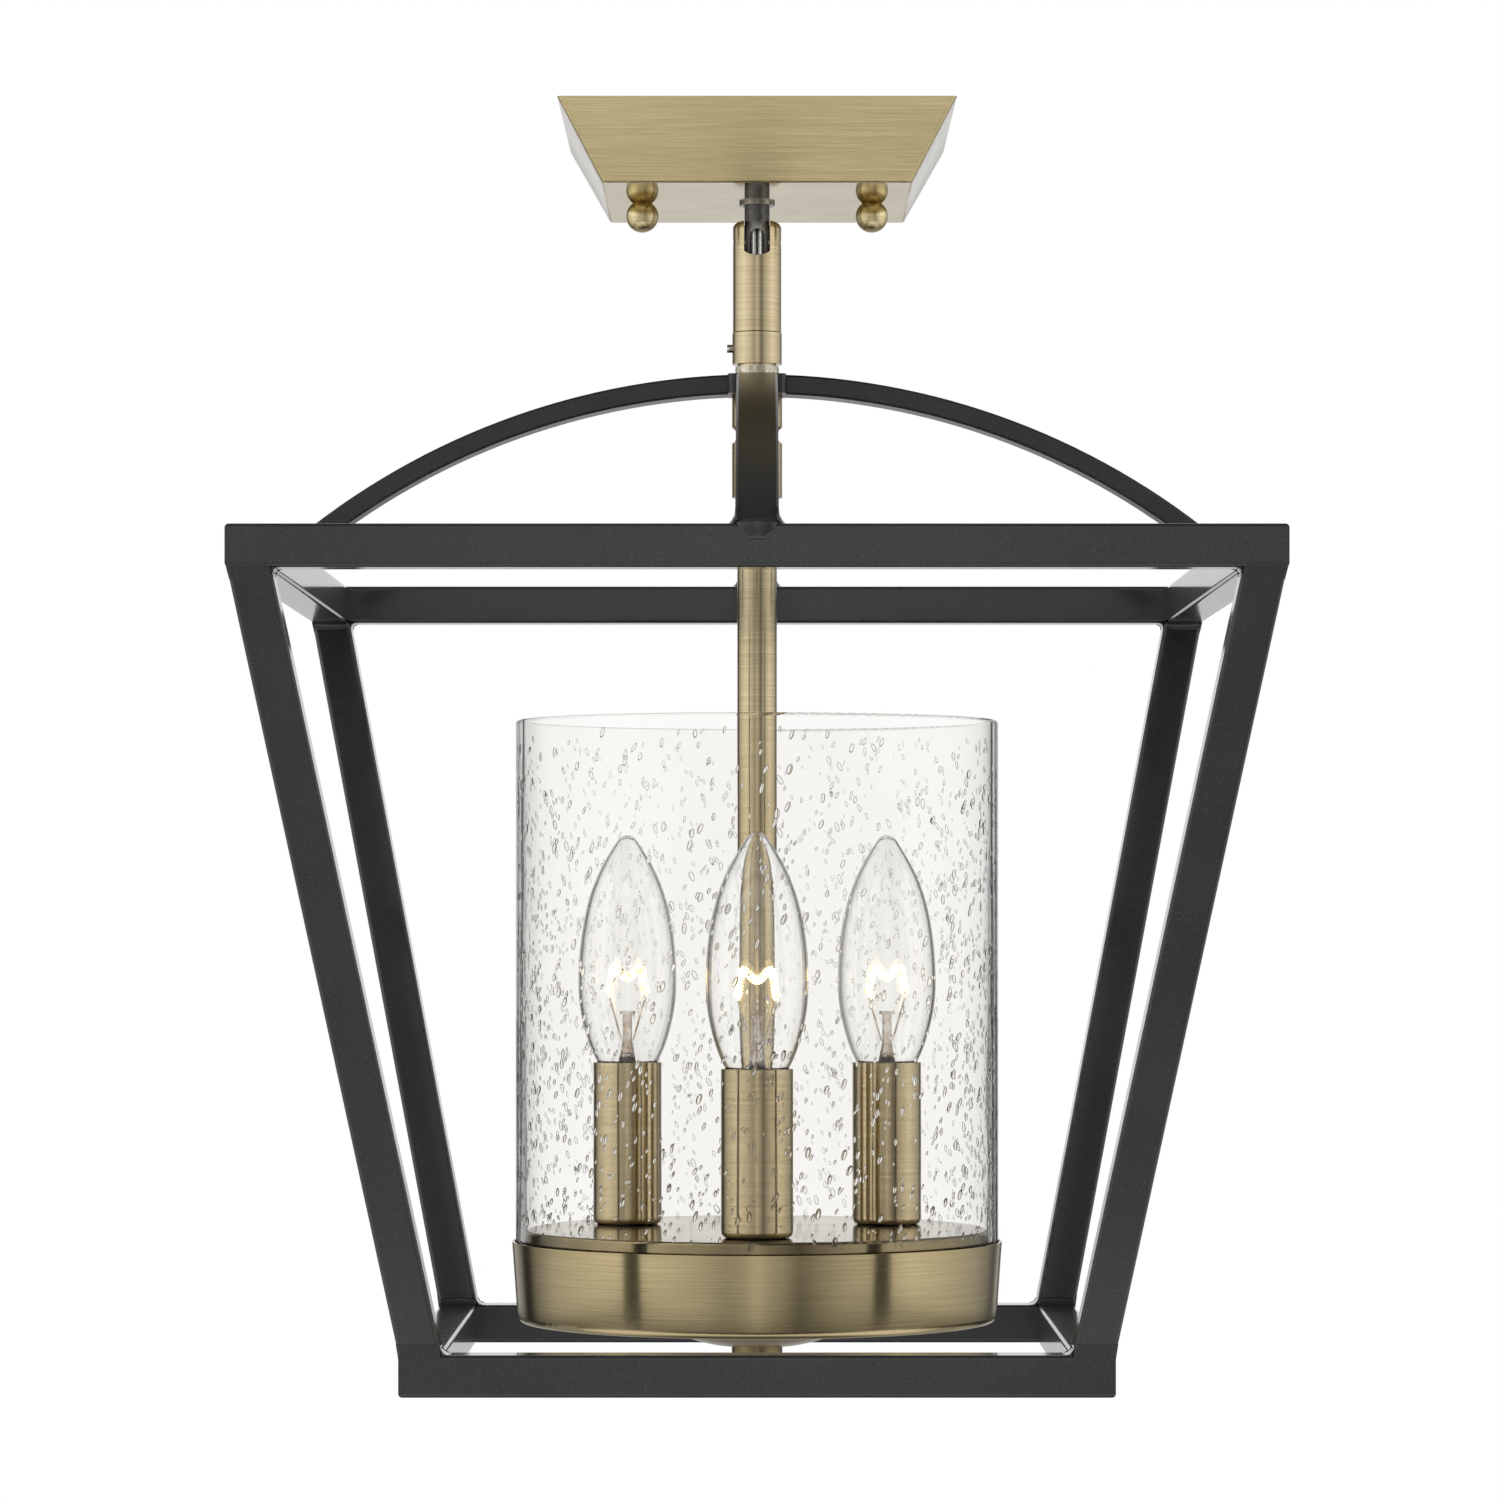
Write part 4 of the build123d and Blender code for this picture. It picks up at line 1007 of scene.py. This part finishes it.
def add_lights():
    """Two tall soft panels, left and right of the camera, and a wide one behind the lamp."""
    for name, place, width, height, power in PANELS:
        light = bpy.data.lights.new(name, "AREA")
        light.shape = "RECTANGLE"
        light.size = width
        light.size_y = height
        light.energy = power
        lamp = bpy.data.objects.new(name, light)
        lamp.location = place
        away = np.subtract(place, PANEL_AIM)
        yaw = math.atan2(away[0], -away[1])
        pitch = math.atan2(math.hypot(away[0], away[1]), away[2])
        lamp.rotation_euler = (pitch, 0, yaw)
        lamp.visible_glossy = False
        lamp.visible_transmission = False
        bpy.context.scene.collection.objects.link(lamp)


SKY_LEVEL = 1.35
CEILING_RISE = (0.55, 0.85)
CEILING_LEVEL = 0.35


def add_surroundings(scene, studio):
    """White all round for the camera. Glass and metal see a darker ceiling, and metal the whole studio."""
    world = bpy.data.worlds.new("studio_white")
    world.use_nodes = True
    scene.world = world
    tree = world.node_tree
    sky = tree.nodes["Background"]
    way = add(tree, "ShaderNodeTexCoord").outputs["Generated"]
    height = part_of(tree, way, "Z")
    ceiling = spread(tree, height, *CEILING_RISE, 1.0, CEILING_LEVEL)
    sky_level = spread(tree, height, *CEILING_RISE, SKY_LEVEL, CEILING_LEVEL)
    metal = reckon(tree, "MULTIPLY", studio_round(tree, way), sky_level)
    through = blend_colour(tree, ray_share(tree, "Transmission"), (1, 1, 1), ceiling)
    colour = blend_colour(tree, mirror_share(tree), through, metal)
    strength = spread(tree, ray_share(tree, "Camera", "Glossy", "Transmission"), 0, 1, studio.fill, 1.0)
    set_sockets(tree, sky, Color=colour, Strength=strength)


SENSOR_WIDTH = 36.0


def add_camera(scene, studio):
    """Level camera in front of the lamp, with the picture shifted on its sensor."""
    camera = bpy.data.cameras.new("camera")
    camera.lens = studio.lens
    camera.sensor_width = SENSOR_WIDTH
    camera.shift_x = studio.shift_right
    camera.shift_y = studio.shift_up
    viewer = bpy.data.objects.new("camera", camera)
    viewer.location = (0, -studio.camera_distance, studio.camera_height)
    viewer.rotation_euler = (math.pi / 2, 0, 0)
    scene.collection.objects.link(viewer)
    scene.camera = viewer


class LIGHT_PT_panel(bpy.types.Panel):
    """Settings and steps of the ceiling light"""

    bl_idname = "LIGHT_PT_panel"
    bl_label = "Ceiling light"
    bl_space_type = "VIEW_3D"
    bl_region_type = "UI"
    bl_category = "Ceiling light"

    def draw(self, context):
        for name in SETTINGS:
            group = getattr(context.scene, name)
            box = self.layout.box()
            for key in group.bl_rna.properties.keys():
                if key not in {"rna_type", "name"}:
                    box.prop(group, key)
        for step in STEPS:
            self.layout.operator(step.bl_idname)


SETTINGS = {"light_finish": FinishSettings, "light_seeds": SeedSettings, "light_studio": StudioSettings}
STEPS = [cls for cls in CLASSES if issubclass(cls, bpy.types.Operator)]
CLASSES.append(LIGHT_PT_panel)


def register():
    """Adds the classes and the settings on the scene."""
    for cls in CLASSES:
        bpy.utils.register_class(cls)
    for name, group in SETTINGS.items():
        setattr(bpy.types.Scene, name, bpy.props.PointerProperty(type=group))


def unregister():
    """Takes the settings and the classes away again."""
    for name in SETTINGS:
        delattr(bpy.types.Scene, name)
    for cls in reversed(CLASSES):
        bpy.utils.unregister_class(cls)


def main():
    """Runs every step."""
    register()
    for step in STEPS:
        group, name = step.bl_idname.split(".")
        getattr(getattr(bpy.ops, group), name)()


if __name__ == "__main__":
    main()
